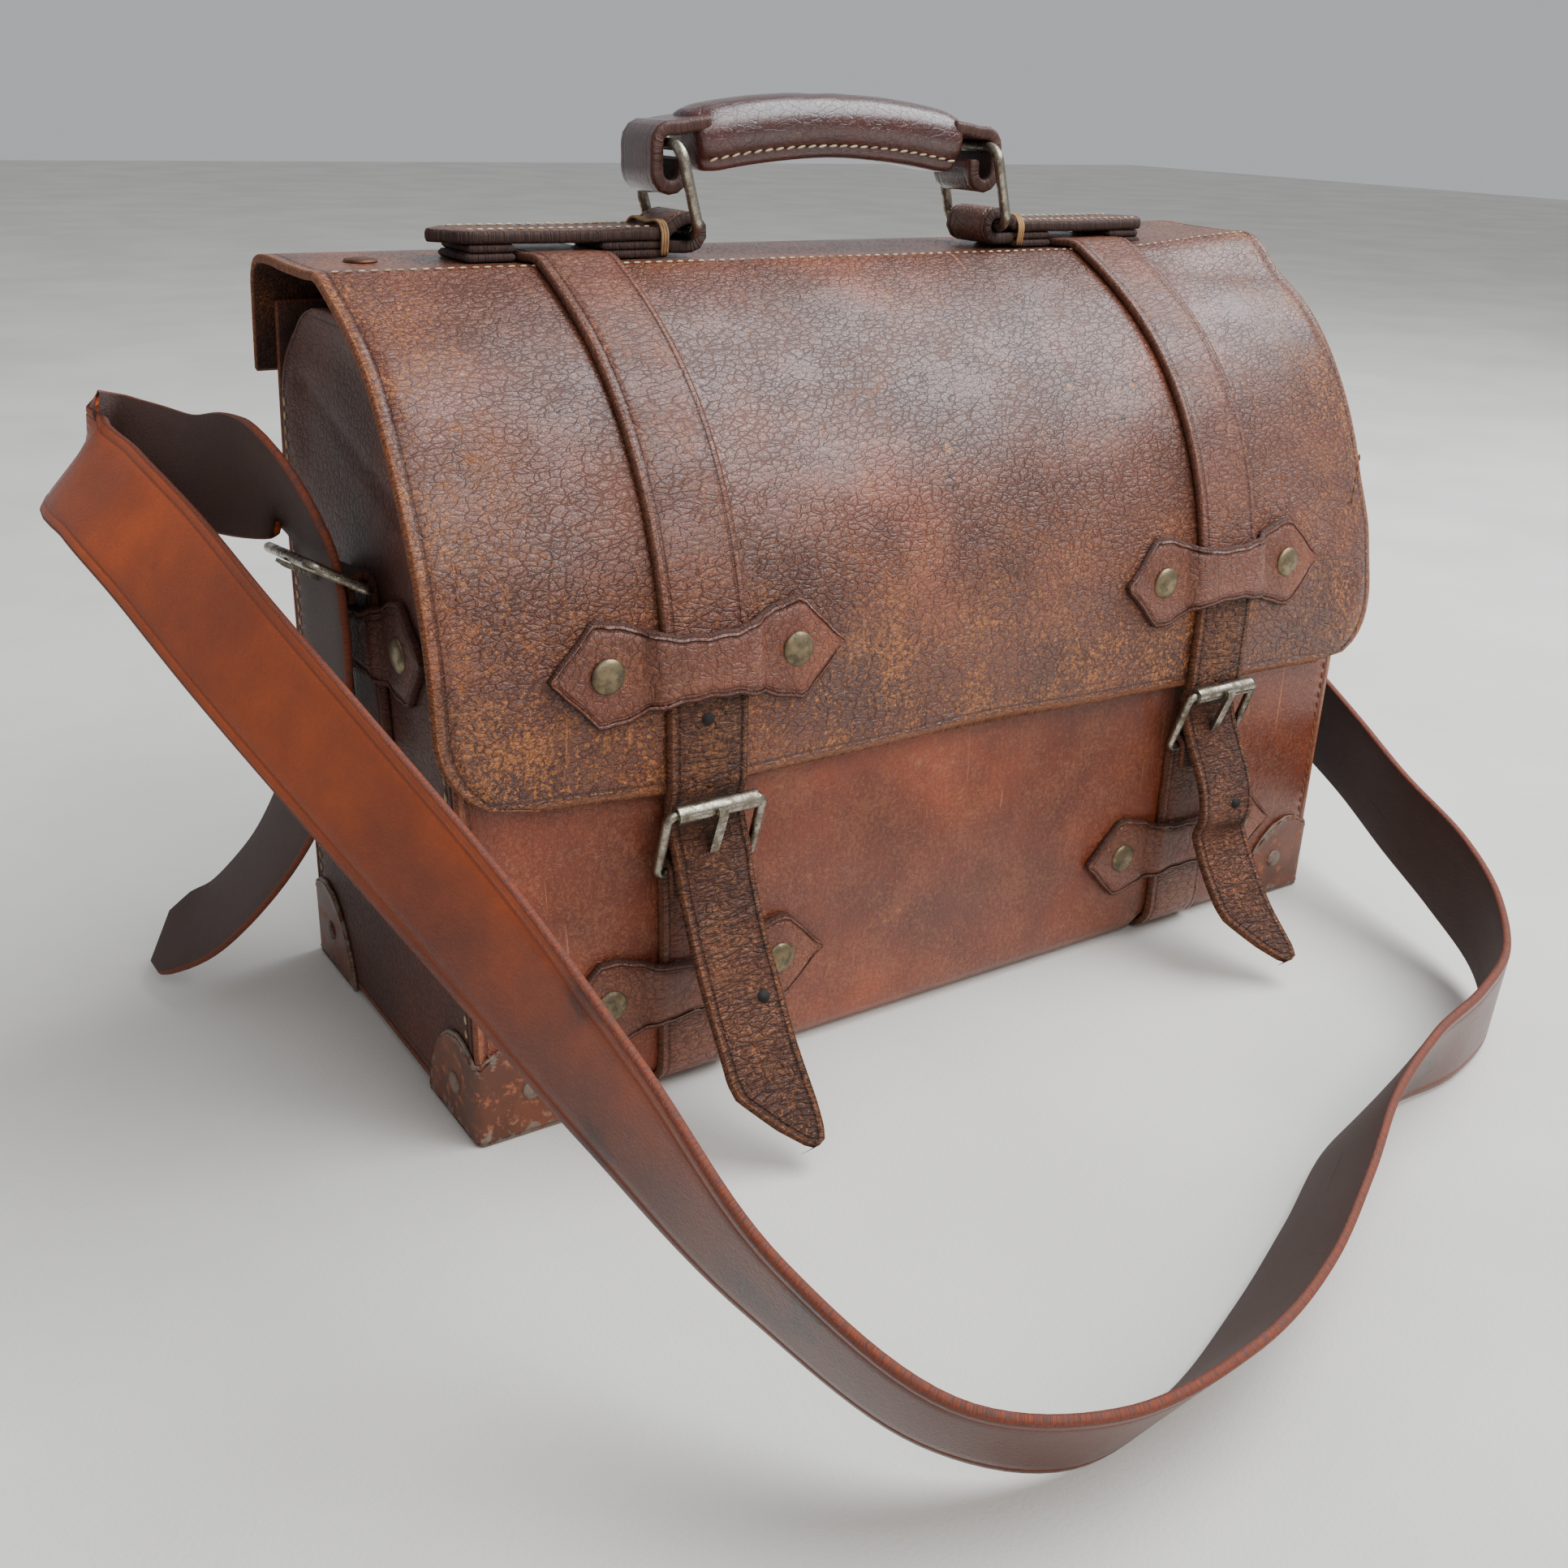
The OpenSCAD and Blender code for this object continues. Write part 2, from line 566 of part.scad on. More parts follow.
// The strap, keeper and buckle of an end, drawn facing -Y at the origin and leaning back a little
module side_frame(s) {
    translate([s * half_len, side_y, side_keeper_z]) rotate([0, 0, s * 90]) rotate([0, s * side_turn, 0])
        translate([0, 0, -side_keeper_z]) children();
}
// Outline of a vertical face at the origin of a side, facing out
side_loop_y = -(seam + loop_r);
module side_strap(s) {
    color(LEATHER) side_frame(s) difference() {
        union() {
            translate([-belt_w / 2, -seam - belt_t, side_low_z]) cube([belt_w, belt_t, side_heel_z - side_low_z]);
            rod_x(loop_r, belt_w, 0, side_loop_y, side_heel_z);
        }
        rod_x(heel_r, belt_w + 2, 0, side_loop_y, side_heel_z);
        translate([-prong_w / 2 - 1, side_loop_y - loop_r - 1, side_heel_z - loop_r - 1])
            cube([prong_w + 2, 2 * loop_r + 0.7, 2 * loop_r + 2]);
    }
}
module side_strap_left() { side_strap(-1); }
module side_strap_right() { side_strap(1); }
module side_keeper(s) {
    color(LEATHER) side_frame(s) keeper([[0, side_low_z - 10], [0, side_heel_z + 20]], 0, side_keeper_z);
}
module side_keeper_left() { side_keeper(-1); }
module side_keeper_right() { side_keeper(1); }
module side_keeper_rivets() {
    color(BRASS) for (s = [-1, 1]) side_frame(s) for (k = [-1, 1])
        translate([k * keeper_rivet_x, -keeper_t - 2 * seam, side_keeper_z]) rotate([90, 0, 0])
            rivet(keeper_t + leather_t + 3 * seam);
}
module side_buckle(s) {
    color(METAL) side_frame(s) translate([0, side_loop_y, side_heel_z]) rotate([side_tilt, 0, 0])
        translate([0, 0, side_frame_h / 2]) rotate([90, 0, 0]) wire_ring(side_buckle_w, side_frame_h, bend_r, wire_r);
}
module side_buckle_left() { side_buckle(-1); }
module side_buckle_right() { side_buckle(1); }
module side_prong(s) {
    color(METAL) side_frame(s) translate([0, side_loop_y, side_heel_z]) along_x(prong_w)
        prong_shape(-side_frame_h * sin(side_tilt), side_frame_h * cos(side_tilt), wire_r);
}
module side_prong_left() { side_prong(-1); }
module side_prong_right() { side_prong(1); }

// ---- corner caps ----
// Lobes over the front or back face, the end face and the bottom at one corner
module cap_shell(sx, sy) {
    translate([sx * half_len, sy * half_dep, 0]) mirror([sx > 0 ? 1 : 0, 0, 0]) mirror([0, sy > 0 ? 1 : 0, 0])
        children();
}
module lobe(l, h) {
    difference() {
        intersection() {
            square([l, h]);
            translate([l * 0.18, h * 0.08]) circle(r = h * 0.92);
        }
        translate([-1, h]) circle(r = 4);
    }
}
module cap(sx, sy) {
    o = cap_t + seam;
    color(PAINT) difference() {
        cap_shell(sx, sy) {
            translate([-o, -seam, 0]) rotate([90, 0, 0]) linear_extrude(cap_t) lobe(cap_len + o, cap_h);
            translate([-o, -o, 0]) rotate([90, 0, 90]) linear_extrude(cap_t) lobe(cap_len + o, cap_h);
            translate([-o, -o, 0]) linear_extrude(cap_t) intersection() {
                square(cap_len * 0.8 + o);
                circle(r = cap_len * 0.8 + o);
            }
        }
        cap_holes();
    }
}
module cap_front_left() { cap(-1, -1); }
module cap_front_right() { cap(1, -1); }
module cap_back_left() { cap(-1, 1); }
module cap_back_right() { cap(1, 1); }
cap_rivet_in = 19;
cap_rivet_z = 14 + lip_z;
module cap_rivet_places() {
    for (sx = [-1, 1], sy = [-1, 1]) cap_shell(sx, sy) {
        translate([cap_rivet_in, -seam - cap_t, cap_rivet_z]) rotate([90, 0, 0]) children();
        translate([-seam - cap_t, cap_rivet_in, cap_rivet_z]) rotate([0, -90, 0]) children();
    }
}
module cap_holes() { cap_rivet_places() translate([0, 0, -12]) cylinder(r = 1.4 + seam, h = 24); }
module cap_rivets() {
    color(PAINT) cap_rivet_places() translate([0, 0, seam]) rivet(cap_t + leather_t + 3 * seam, 2.4, 4, 1.4);
}

// ---- shoulder strap ----
// Route of the strap: the middle of its width, then the direction across it, from the left tail round
// the front to the right tail
STRAP_ROUTE = [
    [-258, 98, 11.5, 0.2, -1, 0.2], [-246, 78, 24, 0.1, -1, 0.2], [-233, 55, 48, 0, -1, 0.2],
    [-221, 34, 80, 0, -1, 0.1], [-214, 14, 116, 0, -1, 0.1], [-212, 3, 148, 0, -1, 0.1],
    [-213, 0, 170, 0, -1, 0.1], [-215, -1, 188, 0, -1, 0.1], [-221, 3, 202, 0.1, -1, 0.2],
    [-232, 30, 207, 0.4, -0.7, 0.5], [-243, 55, 205, 0.6, -0.4, 0.6], [-252, 80, 206, 0.7, -0.2, 0.7],
    [-260, 94, 206, 0.7, -0.2, 0.7], [-267, 86, 203, 0.7, -0.2, 0.7], [-266, 60, 198, 0.7, -0.2, 0.7],
    [-260, 22, 187, 0.7, -0.2, 0.7], [-252, -30, 169, 0.6, -0.2, 0.8], [-238, -86, 143, 0.5, -0.3, 0.8],
    [-222, -140, 114, 0.4, -0.4, 0.8], [-208, -190, 85, 0.2, -0.5, 0.9], [-192, -240, 54, -0.1, -0.6, 0.8],
    [-164, -280, 29, -0.1, -0.6, 0.8], [-128, -296, 19.5, 0.1, -0.5, 0.9], [-84, -294, 18.5, 0.2, -0.5, 0.8],
    [-40, -280, 18, 0.2, -0.6, 0.8], [0, -262, 20, 0.2, -0.5, 0.8], [44, -240, 21, 0.1, -0.5, 0.9],
    [84, -228, 21, 0.1, -0.3, 0.9], [124, -222, 21, 0, -0.1, 1], [158, -209, 22, -0.1, -0.1, 1],
    [184, -186, 27, -0.1, -0.1, 1], [202, -152, 36, 0, -0.2, 1], [213, -114, 47, -0.1, -0.2, 1],
    [225, -80, 57, -0.1, -0.2, 1], [236, -46, 66, 0, -0.1, 1], [246, -8, 78, 0, -0.1, 1],
    [252, 34, 100, -0.1, -0.1, 1], [256, 70, 132, -0.4, -0.1, 0.9], [258, 92, 164, -0.6, -0.1, 0.7],
    [252, 96, 186, -0.8, -0.2, 0.5], [242, 76, 196, -0.7, -0.5, 0.4], [232, 36, 207, -0.4, -0.8, 0.4],
    [221, 3, 202, -0.1, -1, 0.2], [215, -1, 188, 0, -1, 0.1], [213, 0, 170, 0, -1, 0.1],
    [212, 3, 148, 0, -1, 0.1], [216, 14, 112, 0, -1, 0.1], [226, 34, 76, 0, -1, 0.2],
    [238, 56, 44, -0.1, -1, 0.2], [252, 78, 18, -0.2, -1, 0.2]];
// Smooth curve through the rows of a list, with n steps for each row
function smooth(p, n) = [for (i = [0:len(p) - 2], k = [0:n - 1]) let (t = k / n, a = p[max(i - 1, 0)], b = p[i],
    c = p[i + 1], d = p[min(i + 2, len(p) - 1)]) b + (c - a) * t / 2 + (2 * a - 5 * b + 4 * c - d) * t * t / 2
    + (3 * b - a - 3 * c + d) * t * t * t / 2];
function unit(v) = v / norm(v);
function place(q) = [q[0], q[1], q[2]];
function across(q) = unit([q[3], q[4], q[5]]);
module shoulder_strap() {
    rows = concat(smooth(STRAP_ROUTE, 2), [STRAP_ROUTE[len(STRAP_ROUTE) - 1]]);
    n = len(rows);
    rings = [for (i = [0:n - 1]) let (c = place(rows[i]), t = unit(place(rows[min(i + 1, n - 1)])
        - place(rows[max(i - 1, 0)])), w0 = across(rows[i]), w = unit(w0 - (w0 * t) * t), m = cross(t, w))
        each [c + w * strap_w / 2 + m * strap_t / 2, c - w * strap_w / 2 + m * strap_t / 2,
            c - w * strap_w / 2 - m * strap_t / 2, c + w * strap_w / 2 - m * strap_t / 2]];
    faces = concat([[0, 1, 2, 3]], [[4 * n - 1, 4 * n - 2, 4 * n - 3, 4 * n - 4]],
        [for (i = [0:n - 2], k = [0:3]) let (a = 4 * i + k, b = 4 * i + (k + 1) % 4)
            each [[a, a + 4, b + 4], [a, b + 4, b]]]);
    color(STRAP) difference() {
        polyhedron(rings, faces);
        for (s = [-1, 1]) side_frame(s) translate([0, side_loop_y, side_heel_z]) rotate([side_tilt, 0, 0])
            translate([-prong_w / 2 - 1, -8, 3]) cube([prong_w + 2, 11, 15]);
    }
}

front_panel();
back_panel();
bottom_panel();
gusset_left();
gusset_right();
flap_root();
flap();
top_stiffener();
stiffener_rivets();
belt_left();
belt_right();
flap_strap_left();
flap_strap_right();
strap_tail_left();
strap_tail_right();
upper_keeper_left();
upper_keeper_right();
lower_keeper_left();
lower_keeper_right();
upper_keeper_rivets();
lower_keeper_rivets();
buckle_frame_left();
buckle_frame_right();
roller_left();
roller_right();
prong_left();
prong_right();
chape_left();
chape_right();
chape_blocks();
thread_wraps();
ring_left();
ring_right();
handle_core();
handle_grip();
side_strap_left();
side_strap_right();
side_keeper_left();
side_keeper_right();
side_keeper_rivets();
side_buckle_left();
side_buckle_right();
side_prong_left();
side_prong_right();
shoulder_strap();
cap_front_left();
cap_front_right();
cap_back_left();
cap_back_right();
cap_rivets();
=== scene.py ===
"""Leather satchel: soft shells, straps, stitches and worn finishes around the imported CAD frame."""

import json
import math

import bmesh
import bpy
import numpy as np
from mathutils import Matrix, Vector

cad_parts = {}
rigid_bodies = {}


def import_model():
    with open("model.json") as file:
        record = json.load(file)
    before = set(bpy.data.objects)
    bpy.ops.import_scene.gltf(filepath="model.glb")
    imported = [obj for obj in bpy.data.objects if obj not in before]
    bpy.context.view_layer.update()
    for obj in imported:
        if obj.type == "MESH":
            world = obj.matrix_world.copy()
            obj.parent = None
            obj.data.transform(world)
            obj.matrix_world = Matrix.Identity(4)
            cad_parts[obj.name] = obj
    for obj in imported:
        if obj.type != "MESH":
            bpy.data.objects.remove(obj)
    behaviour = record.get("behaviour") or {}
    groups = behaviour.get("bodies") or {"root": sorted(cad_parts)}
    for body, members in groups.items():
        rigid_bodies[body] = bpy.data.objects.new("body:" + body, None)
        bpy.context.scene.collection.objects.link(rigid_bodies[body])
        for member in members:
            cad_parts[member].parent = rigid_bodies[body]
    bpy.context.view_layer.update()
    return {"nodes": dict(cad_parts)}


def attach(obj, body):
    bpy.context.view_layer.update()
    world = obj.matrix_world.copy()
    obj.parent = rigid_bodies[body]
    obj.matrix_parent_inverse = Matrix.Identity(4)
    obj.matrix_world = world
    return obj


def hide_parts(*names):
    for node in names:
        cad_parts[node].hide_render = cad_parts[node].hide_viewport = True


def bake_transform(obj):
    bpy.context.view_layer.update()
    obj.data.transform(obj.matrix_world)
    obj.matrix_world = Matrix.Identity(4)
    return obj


bl_info = {
    "name": "Leather satchel",
    "version": (1, 0, 0),
    "blender": (4, 5, 0),
    "location": "3D View > Sidebar > Satchel",
    "description": "Builds a worn leather satchel with its straps, stitches and metal fittings",
    "category": "Object",
}

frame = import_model()
MM = 0.001


def colour(code, alpha=None):
    """Linear colour from a hex code, with an alpha unless it is None."""
    values = [int(code[i:i + 2], 16) / 255 for i in (0, 2, 4)]
    linear = tuple((c / 12.92 if c <= 0.04045 else ((c + 0.055) / 1.055) ** 2.4) for c in values)
    return linear if alpha is None else linear + (alpha,)


# ---- what a user can change ------------------------------------------------
def length_of(name, text, default_mm):
    return bpy.props.FloatProperty(name=name, description=text, default=default_mm * MM, min=0.0,
                                   unit="LENGTH")


def tint_of(name, text, code):
    return bpy.props.FloatVectorProperty(name=name, description=text, default=colour(code), subtype="COLOR",
                                         size=3, min=0.0, max=1.0)


class SatchelSizes(bpy.types.PropertyGroup):
    """Sizes of the leather, the sewing and the fittings"""

    hide: length_of("Hide", "Thickness of the body and end panels", 3.0)
    flap_hide: length_of("Flap hide", "Thickness of the flap", 3.0)
    belt_width: length_of("Belt width", "Width of the two belts", 30.0)
    belt_thick: length_of("Belt thickness", "Thickness of the two belts", 3.0)
    keeper_thick: length_of("Keeper thickness", "Thickness of the bow-tie keepers", 2.5)
    band_width: length_of("Shoulder strap width", "Width of the shoulder strap", 39.0)
    band_thick: length_of("Shoulder strap thickness", "Thickness of the shoulder strap", 3.2)
    rivet_radius: length_of("Rivet radius", "Radius of the brass rivet heads", 5.9)
    rivet_rise: length_of("Rivet rise", "Height of the brass rivet heads", 1.7)
    pin_radius: length_of("Cap pin radius", "Radius of the small rivets in the corner caps", 3.9)
    pitch: length_of("Stitch pitch", "Distance from one stitch to the next on the body", 4.2)
    thread: length_of("Thread", "Thickness of the body's sewing thread", 0.8)
    slump: length_of("Slump", "How far the left end of the front has sunk in", 8.5)
    flare: length_of("Flare", "How far the flap's right corner stands out", 6.0)


class SatchelColours(bpy.types.PropertyGroup):
    """Middle colour of each leather, metal and thread"""

    flap: tint_of("Flap", "Colour of the flap", "80452f")
    body: tint_of("Body", "Colour of the front, bottom and back", "843c22")
    gusset: tint_of("Ends", "Colour of the end panels", "633020")
    belt: tint_of("Belts", "Colour of the belts and keepers", "80442f")
    tail: tint_of("Belt ends", "Colour of the belts' free ends", "6e3b25")
    strap: tint_of("Shoulder strap", "Colour of the shoulder strap", "a84606")
    handle: tint_of("Handle", "Colour of the grip", "4c1c14")
    chape: tint_of("Chapes", "Colour of the chapes that hold the rings", "6e4435")
    metal: tint_of("Buckles", "Colour of the buckles, rollers and rings", "a39c8e")
    rivet: tint_of("Rivets", "Colour of the rivets", "86765a")
    copper: tint_of("Board rivets", "Colour of the two rivets on the flap's top", "6f4a3a")
    enamel: tint_of("Corner caps", "Colour of the corner caps' paint", "6f3a22")
    thread: tint_of("Light thread", "Colour of the light sewing thread", "c9b48e")
    body_thread: tint_of("Body thread", "Colour of the thread along the panels' ends", "8e5632")
    binding: tint_of("Binding", "Colour of the thread wound round the chapes", "b28a5c")
    # The holes' colour is painted shade: it darkens the discs that stand in for the shadow inside the punched
    # holes
    hole: tint_of("Holes", "Colour inside the punched holes", "140c08")
    floor: tint_of("Floor", "Colour of the floor", "e2dfd8")


def size(name):
    """A user size in millimetres."""
    return getattr(bpy.context.scene.satchel_sizes, name) / MM


# Sizes of the bag in millimetres, the same as the frame's
LEN, DEPTH, HEIGHT = 400.0, 158.0, 272.0
HALF_LEN, HALF_DEPTH = LEN / 2, DEPTH / 2
HINGE_Y = 60.0
FLAP_HALF = 207.0
BELT_X = 118.0
HEEL = (-84.25, 88.0)
LOOP_RADIUS = 5.15
RING_LOW, RING_TOP = 280.3, 309.28
WIRE_REACH = 2.75
RING_X = (-67.0, 73.0)
HANDLE_X, HANDLE_Y = -4.765, 28.0
CHAPE_END = 161.0
SIDE_Z, SIDE_Y, SIDE_TURN = 157.0, -3.0, 6.0
SIDE_HEEL = 176.0


# ---- curves and surfaces -------------------------------------------------
def bezier(a, b, c, d, n):
    t = np.linspace(0, 1, n + 1)[:, None]
    a, b, c, d = (np.array(p, float) for p in (a, b, c, d))
    return (1 - t) ** 3 * a + 3 * (1 - t) ** 2 * t * b + 3 * (1 - t) * t**2 * c + t**3 * d


def arc(a, b, radius, first, last, step=10):
    """Points of a circle round (a, b), from one angle in degrees up or down to before another."""
    turns = np.radians(np.arange(first, last, step))
    return [(a + radius * math.cos(q), b + radius * math.sin(q)) for q in turns]


def smooth_step(value, low, high):
    t = np.clip((np.asarray(value, float) - low) / (high - low), 0, 1)
    return t * t * (3 - 2 * t)


def lengths(path):
    """Distance from the path's first point to each of its points."""
    return np.concatenate([[0], np.cumsum(np.linalg.norm(np.diff(path, axis=0), axis=1))])


def resample(points, step):
    """The same line with points about step apart, on a smooth curve through them."""
    p = np.asarray(points, float)
    keep = [0] + [i for i in range(1, len(p)) if np.linalg.norm(p[i] - p[i - 1]) > 1e-6]
    p = p[keep]
    s = lengths(p)
    n = max(3, int(round(s[-1] / step)) + 1)
    t = np.linspace(0, s[-1], n)
    slope = np.gradient(p, s, axis=0)
    i = np.clip(np.searchsorted(s, t, side="right") - 1, 0, len(p) - 2)
    h = (s[i + 1] - s[i])[:, None]
    u = ((t - s[i]) / (s[i + 1] - s[i]))[:, None]
    return (
        (2 * u**3 - 3 * u**2 + 1) * p[i]
        + (u**3 - 2 * u**2 + u) * h * slope[i]
        + (-2 * u**3 + 3 * u**2) * p[i + 1]
        + (u**3 - u**2) * h * slope[i + 1]
    )


def back_y(z):
    return HALF_DEPTH - 11 * (np.maximum(0, np.asarray(z, float) - 150) / (HEIGHT - 150)) ** 2


# Outer face of the flap in the YZ plane, from its hem over the top to the hinge
FLAP_PATH = np.vstack([
    [[-85, 117], [-85, 129]],
    bezier((-85, 140), (-83, 215), (-45, 250), (4, 272), 22),
    [[16, 272], [35, 272], [HINGE_Y, 272]],
])


def back_corner(off):
    """Outer line at the top back corner, off millimetres out from the back, down to the flap's sewn edge."""
    a = np.radians(np.arange(90, -1, -15))
    y0, z0 = HINGE_Y + 2, HEIGHT - 13
    bend = np.stack([y0 + (back_y(z0) + off - y0) * np.cos(a), z0 + (13 + off - 3.1) * np.sin(a)], 1)
    z = np.arange(z0 - 6, HEIGHT - 40.1, -7)
    return np.vstack([bend, np.stack([back_y(z) + off, z], 1)])


def flap_y_at(z):
    return float(np.interp(z, FLAP_PATH[:24, 1], FLAP_PATH[:24, 0]))


# ---- meshes --------------------------------------------------------------
def mesh_object(name, verts, faces, body, edge=None, side=None, uv=None, smooth=True):
    """A mesh from points in millimetres that rides on a body, or on none when body is None."""
    mesh = bpy.data.meshes.new(name)
    mesh.from_pydata((np.asarray(verts, float) * MM).tolist(), [], faces)
    for key, values in (("edge", edge), ("side", side)):
        if values is not None:
            made = mesh.attributes.new(key, "FLOAT", "POINT")
            made.data.foreach_set("value", np.asarray(values, np.float32))
    if uv is not None:
        layer = mesh.uv_layers.new(name="UVMap")
        loops = np.zeros(len(mesh.loops), np.int32)
        mesh.loops.foreach_get("vertex_index", loops)
        layer.data.foreach_set("uv", (np.asarray(uv, float)[loops] * MM).astype(np.float32).ravel())
    b = bmesh.new()
    b.from_mesh(mesh)
    bmesh.ops.recalc_face_normals(b, faces=b.faces)
    b.to_mesh(mesh)
    b.free()
    mesh.polygons.foreach_set("use_smooth", [smooth] * len(mesh.polygons))
    obj = bpy.data.objects.new(name, mesh)
    bpy.context.scene.collection.objects.link(obj)
    if body is not None:
        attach(obj, body)
    return obj


def loft(name, rows, body, edge, side, uv, shape=None):
    """Closed skin over rows of points that all have the same number of points."""
    rows = np.asarray(rows, float)
    n, m, _ = rows.shape
    verts = rows.reshape(-1, 3)
    if shape is not None:
        verts = shape(verts)
    faces = []
    for i in range(n - 1):
        for k in range(m):
            a, b = i * m + k, i * m + (k + 1) % m
            faces.append((a, b, b + m, a + m))
    faces.append(tuple(range(m - 1, -1, -1)))
    faces.append(tuple(range((n - 1) * m, n * m)))
    return mesh_object(name, verts, faces, body, np.ravel(edge), np.ravel(side), np.reshape(uv, (-1, 2)))


def frames(path, across):
    """Tangents, unit across vectors and normals of a path."""
    tangent = np.gradient(path, axis=0)
    tangent /= np.linalg.norm(tangent, axis=1)[:, None]
    across = np.broadcast_to(np.asarray(across, float), path.shape).copy()
    across -= tangent * np.sum(across * tangent, axis=1)[:, None]
    across /= np.linalg.norm(across, axis=1)[:, None]
    return tangent, across, np.cross(tangent, across)


def strip(name, path, across, left, right, thick, body, flip=False, cols=10, crease=3.6, cut=(True, True),
          shape=None, groove=0.35, middle=False):
    """A leather strip with rounded cut edges and an edge crease. path is its inner face's middle line,
    and left and right are the distances to its two edges along the path."""
    path = np.asarray(path, float)
    n = len(path)
    tangent, wide, up = frames(path, across)
    if flip:
        up = -up
    left = np.broadcast_to(np.asarray(left, float), (n,)).copy()
    right = np.broadcast_to(np.asarray(right, float), (n,)).copy()
    s = lengths(path)
    r = min(0.42 * thick, 1.3)
    near = [r, r + 0.9] + ([crease - 0.7, crease, crease + 0.7] if crease else [])
    rows, edge, side, uv = [], [], [], []
    order = list(range(n))
    if cut[0]:
        order = [-1] + order
    if cut[1]:
        order = order + [n]
    for i in order:
        end = i in (-1, n)
        j = min(max(i, 0), n - 1)
        total = left[j] + right[j]
        scale = min(1.0, 0.45 * total / near[-1])
        points = []
        turned = [(r * scale * (1 - math.cos(q)), thick - r + r * math.sin(q), 0.5 + q / math.pi)
                  for q in (0.0, math.radians(40.0))]
        creased = [(d * scale, thick - (groove if crease and abs(d - crease) < 0.01 else 0)) for d in near]
        points += [(-left[j] + w, h, 0.0, sd) for w, h, sd in turned]
        inner = [(-left[j] + w, h, w, 1.0) for w, h in creased]
        span = near[-1] * scale
        for k in range(1, cols):
            w = -left[j] + span + (total - 2 * span) * k / cols
            inner.append((w, thick, min(w + left[j], right[j] - w), 1.0))
        inner += [(right[j] - w, h, w, 1.0) for w, h in reversed(creased)]
        points += inner
        points += [(right[j] - w, h, 0.0, sd) for w, h, sd in reversed(turned)]
        b = 0.25 * thick
        points += [(right[j], b, 0.0, 0.5), (right[j] - b * scale * 0.5, b * 0.2, 0.0, 0.3)]
        half = max(2, cols // 2)
        for k in range(half + 1):
            w = right[j] - b * scale - (total - 2 * b * scale) * k / half
            points.append((w, 0.0, min(w + left[j], right[j] - w), 0.0))
        points += [(-left[j] + b * scale * 0.5, b * 0.2, 0.0, 0.3), (-left[j], b, 0.0, 0.5)]
        base = path[j]
        mid = thick / 2
        to_end = min(s[j] if cut[0] else 1e9, s[-1] - s[j] if cut[1] else 1e9)
        row = []
        for w, h, e, sd in points:
            if end:
                h = mid + (h - mid) * 0.45
                w = w * (1 - r * 0.5 / max(total / 2, 1.0))
                sd = 0.5
            elif (i == 0 and cut[0]) or (i == n - 1 and cut[1]):
                sd = sd if sd < 0.9 else 0.93
            row.append(base + wide[j] * w + up[j] * (h - (mid if middle else 0)))
            edge.append(min(e, to_end) * MM)
            side.append(sd)
            uv.append((s[j], w))
        row = np.array(row)
        if i == 0 and cut[0]:
            row = row + tangent[j] * min(r * 0.8, 0.4 * (s[1] - s[0]))
        if i == n - 1 and cut[1]:
            row = row - tangent[j] * min(r * 0.8, 0.4 * (s[-1] - s[-2]))
        rows.append(row)
    return loft(name, rows, body, edge, side, uv, shape)


def cordlet(name, path, radius, body, sides=8):
    """A thin round thread or wire along a path."""
    path = np.asarray(path, float)
    tangent = np.gradient(path, axis=0)
    tangent /= np.linalg.norm(tangent, axis=1)[:, None]
    guide = np.array([0.0, 0.0, 1.0]) if abs(tangent[0][2]) < 0.9 else np.array([1.0, 0.0, 0.0])
    rows, uv = [], []
    for i, (p, t) in enumerate(zip(path, tangent)):
        a = guide - t * np.dot(guide, t)
        a /= np.linalg.norm(a)
        b = np.cross(t, a)
        guide = a
        rows.append([p + radius * (math.cos(q) * a + math.sin(q) * b)
                     for q in (2 * math.pi * k / sides for k in range(sides))])
        uv += [(i * 1.0, k * 0.5) for k in range(sides)]
    count = len(path) * sides
    return loft(name, rows, body, [0.01] * count, [1.0] * count, uv)


def point_mesh(name, points, aims, edges=()):
    """Points in millimetres with the direction each one faces, for Geometry Nodes to work on."""
    mesh = bpy.data.meshes.new(name)
    mesh.from_pydata([tuple(np.asarray(p, float) * MM) for p in points], list(edges), [])
    aim = mesh.attributes.new("aim", "FLOAT_VECTOR", "POINT")
    aim.data.foreach_set("vector", np.asarray(aims, np.float32).ravel())
    obj = bpy.data.objects.new(name, mesh)
    bpy.context.scene.collection.objects.link(obj)
    return obj


def tree_node(tree, kind, inputs=(), **settings):
    made = tree.nodes.new(kind)
    for key, value in settings.items():
        setattr(made, key, value)
    for key, value in dict(inputs).items():
        if isinstance(value, bpy.types.NodeSocket):
            tree.links.new(value, made.inputs[key])
        else:
            made.inputs[key].default_value = value
    return made


def geometry_tree(name, sockets):
    tree = bpy.data.node_groups.new(name, "GeometryNodeTree")
    tree.is_modifier = True
    tree.interface.new_socket("Geometry", in_out="INPUT", socket_type="NodeSocketGeometry")
    tree.interface.new_socket("Geometry", in_out="OUTPUT", socket_type="NodeSocketGeometry")
    for label, kind, value in sockets:
        socket = tree.interface.new_socket(label, in_out="INPUT", socket_type=kind)
        if value is not None:
            socket.default_value = value
    return tree, tree.nodes.new("NodeGroupInput"), tree.nodes.new("NodeGroupOutput")


def finish_tree(tree, start, end, made):
    real = tree_node(tree, "GeometryNodeRealizeInstances", {"Geometry": made})
    even = tree_node(tree, "GeometryNodeSetShadeSmooth", {"Geometry": real.outputs[0]})
    paint = tree_node(tree, "GeometryNodeSetMaterial", {
        "Geometry": even.outputs[0], "Material": start.outputs["Material"]})
    tree.links.new(paint.outputs[0], end.inputs[0])


